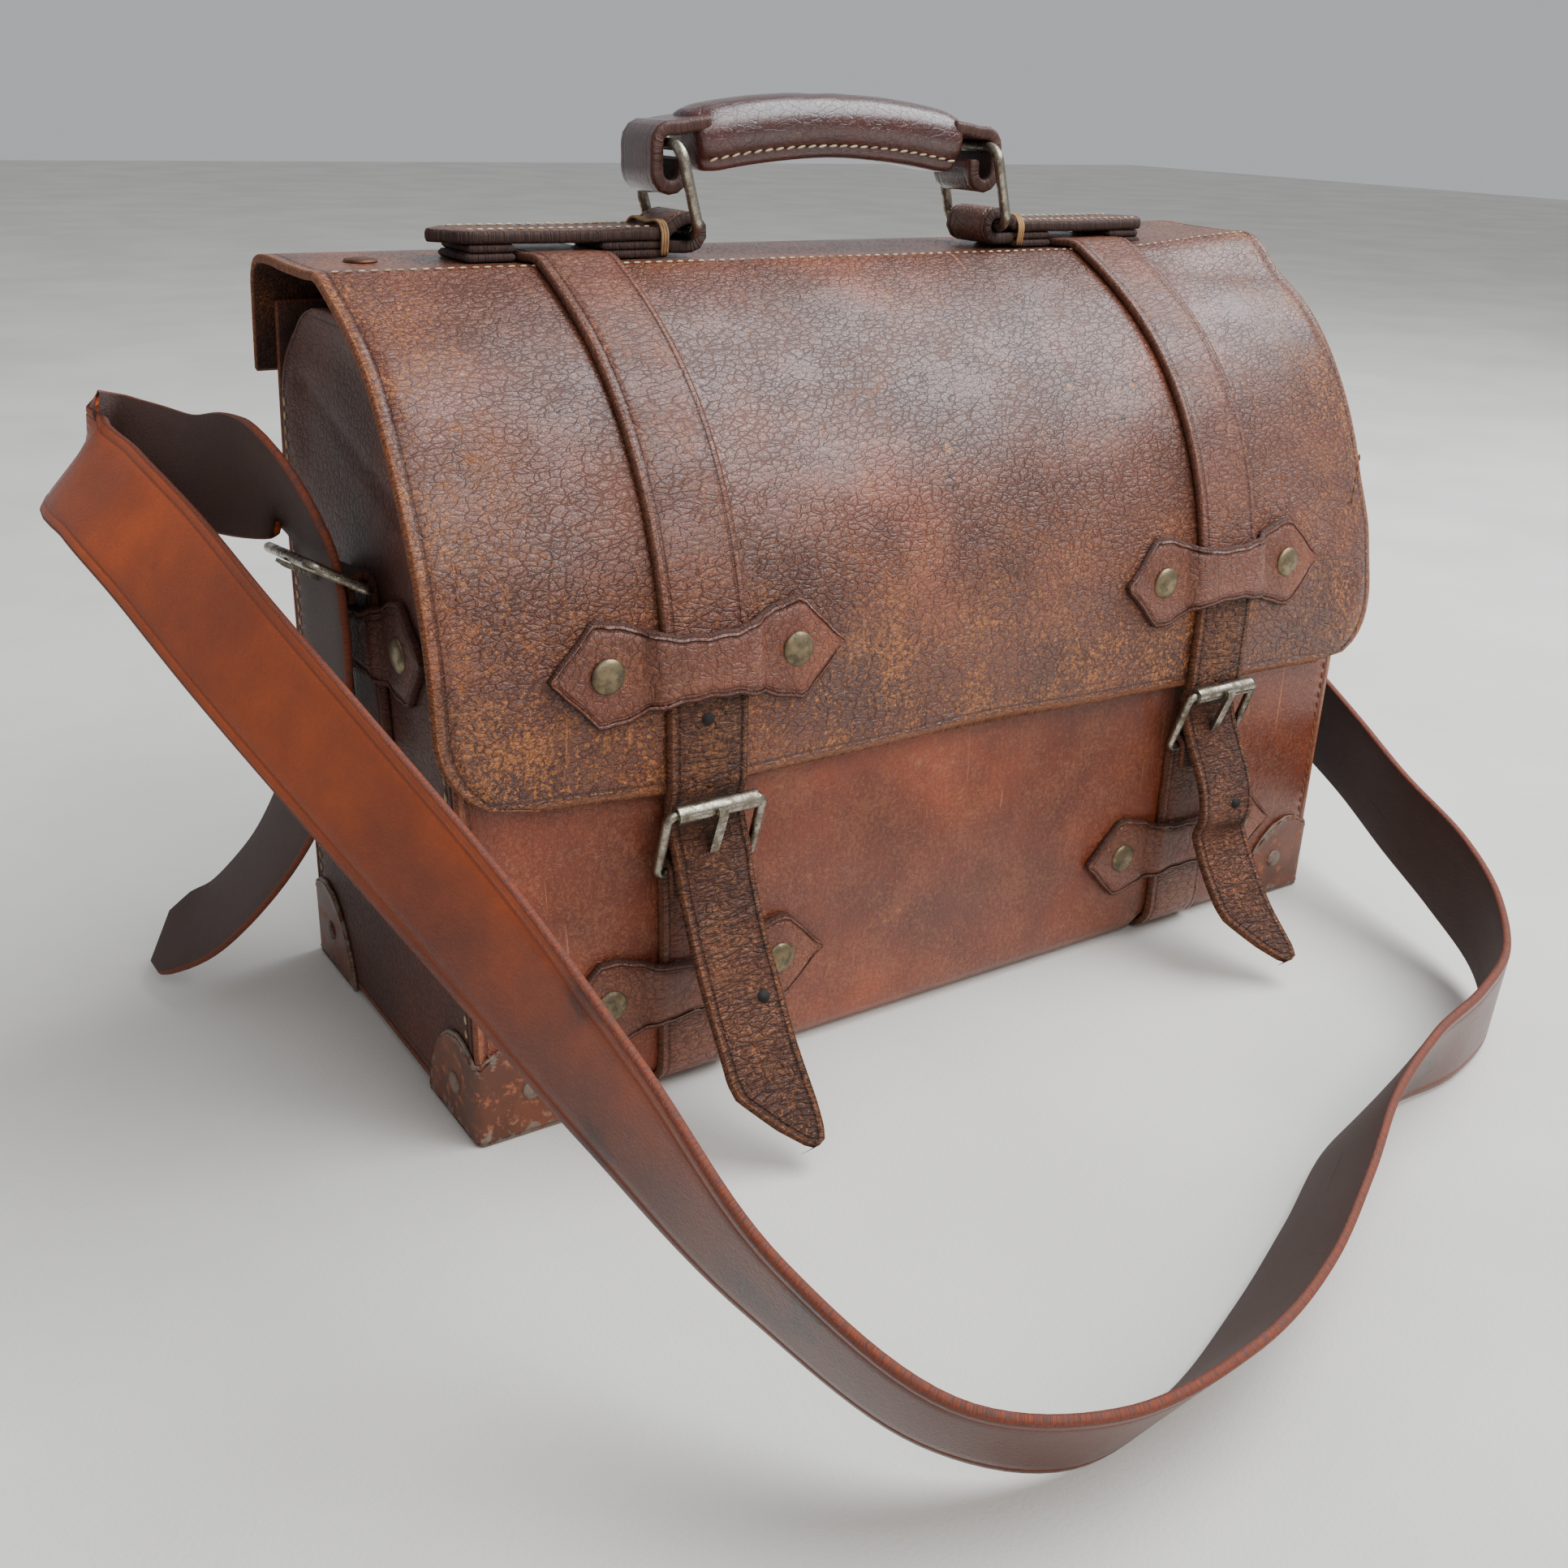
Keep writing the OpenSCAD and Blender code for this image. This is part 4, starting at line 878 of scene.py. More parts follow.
FINISHES = {
    "flap": lambda: leather(
        "crackled_flap_leather", *three_tones("flap", 0.42, 1.6), "bc7440", "a8602f", "3b2219",
        cell=300.0, crack=0.75, width=0.1, stretch=(1.5, 0.8, 1), patches=0.6, patch_mix=0.55,
        scratch=0.75, rub=0.0032, rough=(0.24, 0.62), coat=0.6, relief=1.15, turn=1.25, flecks=0.8,
        fleck_zone=(0.14, 0.2), nicks=True, line=0.0042),
    "body": lambda: leather(
        "smooth_body_leather", *three_tones("body", 0.45, 1.45), "b87a50", "8e5236", "3b2219", cell=420.0,
        crack=0.3, width=0.08, patches=0.6, patch_mix=0.6, scratch=0.7,
        rough=(0.3, 0.6), coat=0.4, relief=0.8, turn=0.05, flecks=0.2),
    "gusset": lambda: leather(
        "grained_gusset_leather", *three_tones("gusset", 0.45, 1.7), "6a3b26", "5e3423", "2c1a14",
        cell=330.0, crack=0.5, width=0.1, patches=0.68, patch_mix=0.35, scratch=0.3,
        rough=(0.5, 0.72), coat=0.04, relief=1.2, flecks=0.15),
    "belt": lambda: leather(
        "cracked_belt_leather", *three_tones("belt", 0.5, 1.4), "b06f45", "7a4a30", "4a2b1e", cell=260.0,
        crack=0.7, width=0.1, stretch=(1.6, 0.7, 1), patches=0.62, patch_mix=0.5, rub=0.0018,
        rough=(0.3, 0.62), coat=0.45, relief=1.2, flecks=0.4, line=0.0032),
    "tail": lambda: leather(
        "dry_belt_end_leather", *three_tones("tail", 0.4, 1.5), "a66a40", "8a5230", "5a3524", cell=230.0,
        crack=0.95, width=0.16, stretch=(2.0, 0.6, 1), patches=0.6, patch_mix=0.45, rub=0.0025,
        rough=(0.5, 0.75), coat=0.05, relief=1.5, flecks=0.5, line=0.0032),
    "keeper": lambda: leather(
        "burnished_keeper_leather", *three_tones("belt", 0.5, 1.4), "a8683f", "2a1b17", "4a2b1e",
        cell=330.0, crack=0.5, width=0.1, patches=0.64, patch_mix=0.45, rub=0.0012,
        rough=(0.32, 0.62), coat=0.35, relief=1.0, flecks=0.3, line=0.0026),
    "strap": lambda: leather(
        "cognac_strap_leather", *three_tones("strap", 0.55, 1.35), "7a3d1c", "4a2c28", "3a2219",
        cell=560.0, crack=0.2, width=0.07, patches=0.74, patch_mix=0.3, scratch=0.35, rub=0.0009,
        line=0.0038, rough=(0.33, 0.5), coat=0.18, relief=0.6, extra=cognac_fade, flecks=0.1),
    "handle": lambda: leather(
        "polished_handle_leather", *three_tones("handle", 0.4, 1.7), "7d4230", "4f2e22", "2b1712",
        cell=300.0, crack=0.3, width=0.07, stretch=(0.7, 1.3, 1), patches=0.7, patch_mix=0.4, scratch=0.4,
        rough=(0.16, 0.45), coat=0.8, relief=0.6, flecks=0.12),
    "chape": lambda: leather(
        "burnished_chape_leather", *three_tones("chape", 0.45, 1.6), "8a6048", "1e1715", "2a1a15",
        cell=320.0, crack=0.5, width=0.1, stretch=(1.4, 0.8, 1), patches=0.66, patch_mix=0.5,
        rough=(0.36, 0.62), coat=0.2, relief=0.9, flecks=0.3, line=0.003),
    "board": lambda: leather(
        "plain_board_leather", *three_tones("gusset", 0.8, 1.9), "6a4a34", "6a3f28", "3a241a", cell=300.0,
        crack=0.2, patches=0.7, rough=(0.6, 0.8), coat=0.02, flecks=0.1),
    "metal": lambda: metal("aged_nickel", "metal", "6d6354", 0.22, 0.5),
    "rivet": lambda: metal("patinated_brass", "rivet", "5b5244", 0.36, 0.6, 0.85),
    "copper": lambda: metal("dull_copper", "copper", "54382c", 0.4, 0.62, 0.7),
    "enamel": lambda: enamel("chipped_brown_enamel"),
    "cream": lambda: twine("cream_waxed_thread", "thread", "8a6f52"),
    "rust": lambda: twine("rust_waxed_thread", "body_thread", "5f3722"),
    "tan": lambda: twine("tan_linen_thread", "binding", "7d5c3c"),
    # Painted shade: dark discs stand in for the shadow inside the punched holes, with the thread's twist
    "hole": lambda: twine("dark_strap_hole", "hole", "0c0806"),
}
MADE = {}


def finish(key):
    if key not in MADE:
        MADE[key] = FINISHES[key]()
    return MADE[key]


# ---- how the soft parts have settled ---------------------------------------
def ripple(p, size, seed):
    """Smooth height from about -1 to 1 over points in millimetres."""
    x, y, z = p[:, 0] / size, p[:, 1] / size, p[:, 2] / size
    return (np.sin(1.9 * x + 1.3 * z + seed) * 0.45 + np.sin(3.1 * z - 1.1 * y + 2.3 * seed) * 0.3
            + np.sin(4.3 * x - 2.7 * z + 0.7 * seed + 1.2 * y) * 0.25)


def settle(p, flap=False):
    """Points moved as the bag has worn: drawn in at the left, flared at the flap's right corner."""
    p = np.array(p, float)
    x, y, z = p[:, 0].copy(), p[:, 1].copy(), p[:, 2].copy()
    front = smooth_step(-y, 25, 72)
    p[:, 1] += size("slump") * smooth_step(-x, 100, 205) * smooth_step(z, 50, 150) * front
    if flap:
        right = smooth_step(x, 135, 207)
        p[:, 1] -= size("flare") * right * smooth_step(-z, -165, -120) * front
        p[:, 1] += 4.0 * right * smooth_step(z, 160, 190) * front
        p[:, 2] -= 5.0 * smooth_step(x, 0, 207) * smooth_step(-z, -150, -117) * front
        p[:, 2] += 1.5 * ripple(p * [1, 0, 0], 60, 2.0) * smooth_step(-z, -150, -117) * front
        p[:, 2] += 5.0 * smooth_step(x, 120, 207) * (1 - front) * smooth_step(z, 262, 270)
    return p


def on_flap(p):
    return settle(p, True)


def side_place(s, p):
    """Points of an end's strap and buckle, drawn facing -Y at the origin, moved to the end s of the bag."""
    a = math.radians(s * SIDE_TURN)
    p = np.array(p, float)
    x, y, z = p[:, 0], p[:, 1], p[:, 2] - SIDE_Z
    x, z = x * math.cos(a) + z * math.sin(a), -x * math.sin(a) + z * math.cos(a)
    return np.stack([-s * y + s * HALF_LEN, s * x + SIDE_Y, z + SIDE_Z], 1)


SIDES = ((-1, "left"), (1, "right"))


# ---- pieces --------------------------------------------------------------
def make_body():
    """Front, bottom and back in one wrapped hide, and the two end panels."""
    front = [(max(-HALF_DEPTH, flap_y_at(z) + 5.8) + 3.0, z) for z in np.arange(206, 12, -5)]
    rise = [(float(back_y(z)) - 3, z) for z in np.arange(16, 258, 6)]
    flat = [(y, 3.2) for y in range(-60, 61, 6)]
    low_front, low_back = arc(-69, 10.2, 7, 180, 271), arc(69, 10.2, 7, 270, 361)
    path = resample([(0, y, z) for y, z in front + low_front + flat + low_back + rise], 4.0)

    def shape(p):
        q = settle(p)
        x, z = np.abs(p[:, 0]), p[:, 2]
        low = smooth_step(-z, -26, -8)
        belt = smooth_step(-np.abs(x - BELT_X), -19.5, -16.5)
        q[:, 2] += low * np.maximum(3.05 * belt, 1.35 * smooth_step(x, 155, 160))
        away = 1 - np.exp(-(((x - BELT_X) / 42) ** 2))
        out = np.sign(p[:, 1]) * smooth_step(np.abs(p[:, 1]), 66, 74) * smooth_step(z, 12, 40)
        rim = smooth_step(-x, -196, -180)
        q[:, 1] += out * away * rim * (0.9 * ripple(p, 55, 1.0) - 0.4)
        return q

    body = strip("body_hide", path, (1, 0, 0), HALF_LEN, HALF_LEN, size("hide"), "root", cols=84, shape=shape)
    dress(body, "body", ("front_panel", "back_panel", "bottom_panel"))
    ear = HEIGHT - 12
    front_line = bezier((-75.9, 142), (-75.9, 196), (-40, ear - 23), (2, ear), 24)
    back_line = bezier((12, ear), (38, ear), (float(back_y(ear - 8)) - 3.1, ear - 10),
                       (float(back_y(ear - 40)) - 3.1, ear - 40), 16)
    for s, side in SIDES:
        rows = np.concatenate([np.arange(5.0, 14, 1.5), np.arange(14, 240, 4.5),
                               np.arange(240, 259.5, 2.0), [259.3]])
        y_front, y_back = [], []
        for z in rows:
            bend = 7 - math.sqrt(max(0.0, 49 - max(0.0, 11.6 - z) ** 2)) if z < 11.6 else 0.0
            f = float(np.interp(z, front_line[:, 1], front_line[:, 0])) if z > 142 else -75.9 + bend
            b = float(back_y(z)) - 3.1 - bend
            if z > ear - 40:
                b = float(np.interp(z, back_line[::-1, 1], back_line[::-1, 0]))
            if s < 0:
                f += size("slump") * float(smooth_step(z, 50, 150)) * float(smooth_step(-f, 25, 72))
            y_front.append(f)
            y_back.append(b)
        y_front, y_back = np.array(y_front), np.array(y_back)
        path = np.stack([np.full(len(rows), s * (HALF_LEN - size("hide"))), np.zeros(len(rows)), rows], 1)

        def fold(p, s=s):
            q = p.copy()
            y, z = p[:, 1], p[:, 2]
            rim = smooth_step(y, -70, -52) * smooth_step(-y, -68, -50)
            high = smooth_step(z, 186, 214) * smooth_step(-z, -258, -240)
            low = smooth_step(-z, -112, -84) * smooth_step(z, 24, 44)
            crease = np.exp(-(((z - 214 - 0.28 * y) / 3.2) ** 2)) * smooth_step(z, 180, 200)
            upper, lower = high * (2.2 + 1.8 * ripple(p, 26, 4.0)), low * (1.2 + 1.0 * ripple(p, 34, 2.0))
            q[:, 0] -= s * rim * (upper + lower + 1.6 * crease)
            return q

        gusset = strip(f"gusset_hide_{side}", path, (0, 1, 0), -y_front, y_back, size("hide"), "root",
                       flip=s > 0, cols=26, shape=fold)
        dress(gusset, "gusset", (f"gusset_{side}",))


def flap_line(offset=0.0):
    """Outer face of the flap leather, from its sewn edge up the back and over the top to the hem."""
    back = back_corner(3.1)[::-1]
    line = np.vstack([back, FLAP_PATH[::-1][1:]])
    line = resample(np.column_stack([np.zeros(len(line)), line]), 3.4)
    if offset:
        _, _, up = frames(line, (1, 0, 0))
        line = line + up * offset
    return line


def make_flap():
    """The flap, one sheet from its seam on the back to the hem, and the board under its flat top."""
    path = flap_line(-size("flap_hide"))
    s = lengths(path)
    to_hem = s[-1] - s
    r = 28.0
    half = FLAP_HALF - np.where(to_hem < r, r - np.sqrt(np.maximum(0, r * r - (r - to_hem) ** 2)), 0)

    def shape(p):
        q = on_flap(p)
        x = np.abs(p[:, 0])
        calm = 1 - np.exp(-(((x - BELT_X) / 34) ** 2))
        bulge = smooth_step(-p[:, 1], 10, 60) * smooth_step(p[:, 2], 120, 150)
        lump = 0.9 * ripple(p, 40, 5.0) * calm
        q[:, 1] -= bulge * lump * 0.8
        crown = smooth_step(-p[:, 1], -45, -10) * smooth_step(p[:, 2], 240, 262)
        q[:, 2] += (1 - bulge) * crown * (lump * 0.5 - 0.4)
        curl = smooth_step(x, 199, 207) * bulge
        q[:, 1] += 1.2 * curl
        return q

    flap = strip("flap_hide", path, (1, 0, 0), half, half, size("flap_hide"), None, cols=96, crease=4.2,
                 shape=shape)
    dress(flap, "flap", ("flap", "flap_root"))
    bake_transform(flap)
    width = HINGE_Y + 4 - 14
    board = strip("top_board", [(x, (HINGE_Y + 4) / 2, 264.9) for x in np.linspace(-192, 192, 40)], (0, 1, 0),
                  width / 2, width / 2, 4.0, "flap", crease=0)
    dress(board, "board", ("top_stiffener",))
    heads = [((s * 182, 32, HEIGHT + 0.1), (0, 0, 1)) for s in (-1, 1)]
    heads += [((s * 182, 32, 264.6), (0, 0, -1)) for s in (-1, 1)]
    rivets("top_board_rivets", heads, "flap", "copper", 5.6, 1.2, replaced=("stiffener_rivets",))


def belt_line():
    """Inner face of a belt: heel loop, down the front, under, up the back and over the flap to the keeper."""
    y0, z0 = HEEL
    line = [(y0 - LOOP_RADIUS, z) for z in (79, 83, 86)]
    line += arc(y0, z0, LOOP_RADIUS, 180, -1, -15)
    line += [(-79.1, z) for z in np.arange(83, 13.5, -5)]
    line += arc(-69.1, 13, 10, 180, 271, 15)
    line += [(y, 3.0) for y in range(-60, 61, 6)]
    line += arc(69.1, 13, 10, 270, 361, 15)
    line += [(float(back_y(z)) + 0.1 + 3.1 * min(1.0, max(0.0, (z - 200) / 26)), z)
             for z in np.arange(20, 231, 6)]
    line += [tuple(q) for q in back_corner(3.2)[::-1] if q[1] > 235]
    line += [(y, z + 0.15) for y, z in FLAP_PATH[::-1] if y < 52 and z > 265]
    rest = [q for q in FLAP_PATH[::-1] if q[1] <= 265 and q[1] > 158]
    line += [(y - 0.15, z) for y, z in rest]
    return line


TAIL_FALL = {
    "left": ((-2.6, -18), (-6.2, -29), (-11.5, -40), (-20, -54), (-31, -70), (-43, -87), (-58, -104)),
    "right": ((-3.5, -19), (-9.5, -29), (-13.5, -38), (-14.5, -46), (-12.5, -53), (-17, -61), (-31, -78),
              (-53, -99)),
}


def make_belts():
    """Both belts from their buckles round the bag to the upper keepers, and their free ends."""
    line = belt_line()
    belt_half = size("belt_width") / 2
    for s, side in SIDES:
        path = resample([(s * BELT_X, y, z) for y, z in line], 3.0)
        belt = strip(f"belt_run_{side}", path, (1, 0, 0), belt_half, belt_half, size("belt_thick"), None,
                     cols=8, crease=3.2, shape=on_belt)
        dress(belt, "belt", (f"belt_{side}", f"flap_strap_{side}"))
        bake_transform(belt)
        up = [(flap_y_at(z) - 0.2, z) for z in np.arange(159.5, 121, -5)]
        through = [(-85.2, 119), (-83.7, 114.5), (-83.1, 110.5), (-84.8, 103)]
        fall = [(-86.55 + a, 111.5 + b) for a, b in TAIL_FALL[side]]
        path = resample([(s * BELT_X, y, z) for y, z in up + through + fall], 2.4)
        n = len(path)
        to_tip = np.linspace(1, 0, n) * lengths(path)[-1]
        left = np.interp(to_tip, [0, 3, 10, 24, 30], [-8.5, -5, 2, 13.0, 14.5])
        right = np.interp(to_tip, [0, 2, 6, 14, 30], [10.5, 13, 14.2, 14.5, 14.5])
        wave = 0.5 * np.sin(to_tip / 7.0 + s) * np.exp(-to_tip / 60)

        def shape(p, s=s):
            q = on_flap(p)
            low = smooth_step(-p[:, 2], -100, -20)
            u = (p[:, 0] - s * BELT_X) / 15
            curled = 0.5 * ripple(p, 9, 1.0 + s) * smooth_step(-p[:, 2], -98, -85)
            q[:, 1] -= low * (1.6 * u * u - 0.8) + curled
            q[:, 0] -= 3.5 * low * low if s > 0 else low
            return q

        tail = strip(f"belt_end_{side}", path, (1, 0, 0), left + wave * 0.3, right + wave,
                     size("belt_thick"), "flap", cols=8, crease=3.2, cut=(False, True), shape=shape)
        dress(tail, "tail", (f"strap_tail_{side}",))
    strap_holes()


def strap_holes():
    """Dark discs of painted shade sunk into the punched holes: one between keeper and hem on the left belt,
    one in each free end.
    """
    spots = []
    for s, place in ((-1, (-2.0, 141.0)), (-1, (12.0, 50.0)), (1, (8.0, 66.0))):
        tail = bpy.data.objects["belt_end_left" if s < 0 else "belt_end_right"]
        near = np.array([s * BELT_X + place[0] * 0.5, -110.0, place[1]]) * MM
        hit, point, normal, _ = tail.ray_cast(Vector(near) + Vector((0, -0.1, 0)), Vector((0, 1, 0)))
        if not hit:
            raise RuntimeError("a strap hole has no strap under it")
        spots.append((np.array(point) / MM - np.array(normal) * 0.35, tuple(normal)))
    # Each disc is painted shade, sunk a little into the strap where a hole would show its shadow
    rivets("strap_holes", spots, "flap", "hole", 2.3, 0.5)


def on_belt(p):
    """The upper run moves with the flap's shape, the lower run with the body's."""
    high = smooth_step(p[:, 2], 100, 120)[:, None]
    return settle(p, True) * high + settle(p) * (1 - high)


BOW_RIVET_X, BOW_THICK = 33.9, 2.5
# Half width of a bow-tie keeper at distances from its middle
KEEPER_HALF = ((0, 10.5), (9, 10.9), (18, 12.6), (27, 15.6), (29.5, 16.4), (37, 17.5), (53, 0.6))


def keeper(name, body, place, seed, key, node):
    """A bow-tie loop that steps over a belt; place maps (along, across, height) to the bag."""
    u = np.concatenate([[-53, -52], np.arange(-50, -21, 2.5), np.arange(-21, 21.5, 1.5),
                        np.arange(23, 50.5, 2.5), [52, 53]])
    rise = 3.35 * (1 - smooth_step(np.abs(u), 15.4, 21.0))
    half = np.interp(np.abs(u), *zip(*KEEPER_HALF))
    lift = 0.35 * np.sin(u / 9 + seed) * smooth_step(np.abs(u), 40, 53)
    path = np.stack([u, 0 * u, rise + np.abs(lift)], 1)
    half = half + 0.25 * np.sin(u * 0.6 + seed)
    made = strip(name, path, (0, 1, 0), half, half, size("keeper_thick"), body, cols=8, crease=2.6,
                 groove=0.4, shape=place)
    dress(made, key, (node,))


def bow_rivets(level, heads, body):
    """The brass rivets of the upper, lower or side keepers."""
    rivets(f"{level}_bow_rivets", heads, body, "rivet", size("rivet_radius"), size("rivet_rise"),
           replaced=(f"{level}_keeper_rivets",))


def make_keepers():
    """The four bow-tie keepers on the front with their rivets."""
    top_heads, low_heads = [], []
    for s, side in SIDES:
        def high(p, s=s):
            y = np.array([flap_y_at(159 + v) for v in p[:, 1]])
            return on_flap(np.stack([s * BELT_X + p[:, 0], y - 0.1 - p[:, 2], 159 + p[:, 1]], 1))

        def low(p, s=s):
            return settle(np.stack([s * BELT_X + p[:, 0], -79.1 - p[:, 2], 41 + p[:, 1]], 1))

        keeper(f"upper_bow_{side}", "flap", high, s, "keeper", f"upper_keeper_{side}")
        keeper(f"lower_bow_{side}", "root", low, s + 2, "keeper", f"lower_keeper_{side}")
        for k in (-1, 1):
            spot = np.array([[k * BOW_RIVET_X, 0.0, BOW_THICK]])
            top_heads.append((high(spot)[0], (0, -1, 0.03)))
            low_heads.append((low(spot)[0], (0, -1, 0)))
    bow_rivets("upper", top_heads, "flap")
    bow_rivets("lower", low_heads, "root")


def make_ends():
    """Side straps, their keepers and rivets on the two end panels."""
    heads = []
    for s, side in SIDES:
        line = [(0, -0.1, z) for z in np.arange(122, 174, 4)]
        line += [(0, y, z) for y, z in arc(-5.25, SIDE_HEEL, LOOP_RADIUS, 0, 181, 20)]
        line += [(0, -10.4, 171)]
        made = strip(f"side_tab_{side}", resample(line, 2.0), (1, 0, 0), 15, 15, 3.0, "root", flip=True,
                     cols=8, crease=3.2, shape=lambda p, s=s: side_place(s, p))
        dress(made, "gusset", (f"side_strap_{side}",))

        def place(p, s=s):
            return side_place(s, np.stack([p[:, 0], -0.1 - p[:, 2], SIDE_Z + p[:, 1]], 1))

        keeper(f"side_bow_{side}", "root", place, 5 + s, "gusset", f"side_keeper_{side}")
        for k in (-1, 1):
            heads.append((place(np.array([[k * BOW_RIVET_X, 0.0, BOW_THICK]]))[0], (s, 0, 0)))
    bow_rivets("side", heads, "root")


# The grip's arch: half its length, its rise, and the radius and centre height they give
GRIP_HALF, GRIP_RISE = 61.5, 6.5
ARCH = (GRIP_HALF**2 + GRIP_RISE**2) / (2 * GRIP_RISE)
ARCH_Z = RING_TOP + GRIP_RISE - ARCH
# The sleeve is fuller than the CAD outline, across and in height
FULL_ACROSS, FULL_HIGH = 1.12, 1.3


def on_arch(angle, height, across):
    """A point over the grip's arch, height above it and across from its middle."""
    r = ARCH + height
    return HANDLE_X + r * math.sin(angle), HANDLE_Y + across, ARCH_Z + r * math.cos(angle)


def grip_rows():
    """Rows of the padded sleeve's outline along the handle's arch."""
    outline = [(0, 8.75), (4.5, 8.5), (8.4, 7.1), (11.0, 4.6), (12.0, 1.2), (11.6, -2.0), (10.2, -4.6),
               (9.2, -5.5),
               (9.3, -6.4), (8.9, -8.0), (7.4, -8.75), (3.5, -8.75)]
    ring = outline + [(-a, b) for a, b in outline[:0:-1]]
    rows, uv = [], []
    reach = math.asin((GRIP_HALF - 2.4) / ARCH)
    for a in np.linspace(-reach, reach, 60):
        out = a * ARCH
        end = (reach - abs(a)) * ARCH
        snug = 0.9 + 0.1 * float(smooth_step(end, 0, 9)) - 0.03 * math.exp(-((out / 16) ** 2))
        close = float(smooth_step(end, -1.5, 2.0))
        row = []
        for w, h in ring:
            w, h = w * snug * FULL_ACROSS * (0.8 + 0.2 * close), h * snug * FULL_HIGH * (0.8 + 0.2 * close)
            if h > 0:
                h += 0.25 * math.sin(out / 3.1 + w) * math.exp(-((out / 14) ** 2))
            row.append(on_arch(a, h, w))
        rows.append(row)
        uv += [(out, 2.9 * k) for k in range(len(ring))]
    return rows, uv


def make_handle():
    """The padded grip with its sewn lower edge and the core strap rolled round both rings."""
    rows, uv = grip_rows()
    count = len(uv)
    grip = loft("handle_sleeve", rows, "handle", [0.01] * count, [1.0] * count, uv)
    smooth = grip.modifiers.new("round", "SUBSURF")
    smooth.levels = smooth.render_levels = 1
    dress(grip, "handle", ("handle_grip",))
    for s, side in SIDES:
        x = HANDLE_X + s * 70.0
        line = [(x - s * 16, RING_TOP + 4.6), (x - s * 9, RING_TOP + 3.7)]
        line += [(x + s * WIRE_REACH * math.sin(a), RING_TOP + WIRE_REACH * math.cos(a))
                 for a in np.radians(np.arange(-15, 91, 21))]
        line += [(x + s * WIRE_REACH, RING_TOP - 4.5)]
        line += [(x + s * WIRE_REACH * math.cos(a), RING_TOP - 9 - WIRE_REACH * math.sin(a))
                 for a in np.radians(np.arange(0, 181, 22.5))]
        line += [(x - s * WIRE_REACH, RING_TOP - 4.5)]
        path = resample([(px, HANDLE_Y, pz) for px, pz in line], 1.3)
        loop = strip(f"handle_loop_{side}", path, (0, 1, 0), 12, 12, 4.9, "handle", flip=s < 0, cols=8,
                     crease=0, cut=(False, True))
        dress(loop, "handle", ("handle_core",))
    seam = [[(on_arch(a, -6.6, face * 11.35), (0, face, -0.35)) for a in np.linspace(-0.185, 0.185, 40)]
            for face in (-1, 1)]
    stitches("handle_stitches", seam, "handle", "cream", pitch=4.6, length=3.6, thread=0.9)


def make_chapes():
    """The two rolled chapes with their filler blocks and binding thread."""
    rows = []
    for s, side in SIDES:
        x = RING_X[0] if s < 0 else RING_X[1]
        r = WIRE_REACH
        line = [(s * CHAPE_END, 278.0), (s * (abs(x) + 22), 278.0), (x + s * 9, 278.6), (x + s * 4, 281.9)]
        line += [(x - s * r * math.sin(a), RING_LOW + r * math.cos(a))
                 for a in np.radians(np.arange(0, 181, 18))]
        line += [(x + s * 5, RING_LOW - r), (x + s * 9, RING_LOW - r + 0.2)]
        path = resample([(px, HANDLE_Y, pz) for px, pz in line], 1.8)
        length = lengths(path)[-1]
        out = np.linspace(0, length, len(path))
        half = np.interp(out, [0, 9.5, 12], [1.0, 12.0, 12.5])
        top = strip(f"chape_roll_{side}", path, (0, 1, 0), half, half, 4.2, "flap", flip=s > 0, cols=8,
                    crease=3.0, groove=0.4)
        dress(top, "chape", (f"chape_{side}",))
        near = abs(x) + 9.0
        for layer in range(2):
            z = 272.15 + layer * 2.85
            half = 12.3 - 0.3 * layer
            for a, b in ((near, BELT_X - 16.2), (BELT_X + 16.2, CHAPE_END - 9 - layer * 1.2)):
                line = [(s * q, HANDLE_Y, z) for q in np.linspace(a, b, 6)]
                block = strip(f"chape_layer_{side}_{layer}_{int(a)}", line, (0, 1, 0), half, half, 2.75,
                              "flap", flip=s < 0, cols=6, crease=0)
                dress(block, "chape", ("chape_blocks",))
        reach = np.linspace(abs(x) + 16, CHAPE_END - 12, 30)
        edge_row = [[((s * q, HANDLE_Y + k * 8.8, 282.35), (0, 0, 1)) for q in reach] for k in (-1, 1)]
        rows += edge_row
        for turn in range(3):
            q = s * (abs(x) + 10.2 + turn * 1.05)
            over = [(0, -13.0, 273.0), (0, -13.2, 281.4), (0.2, -11.6, 283.1), (0.4, 0, 283.3),
                    (0.2, 11.6, 283.1), (0, 13.2, 281.4), (0, 13.0, 273.0)]
            loop = [(q + a, HANDLE_Y + b, z) for a, b, z in over]
            wrap = cordlet(f"thread_turn_{side}_{turn}", resample(loop, 1.5), 0.5, "flap")
            dress(wrap, "tan", ("thread_wraps",))
    stitches("chape_stitches", rows, "flap", "cream", pitch=3.6, length=2.7, thread=0.7)


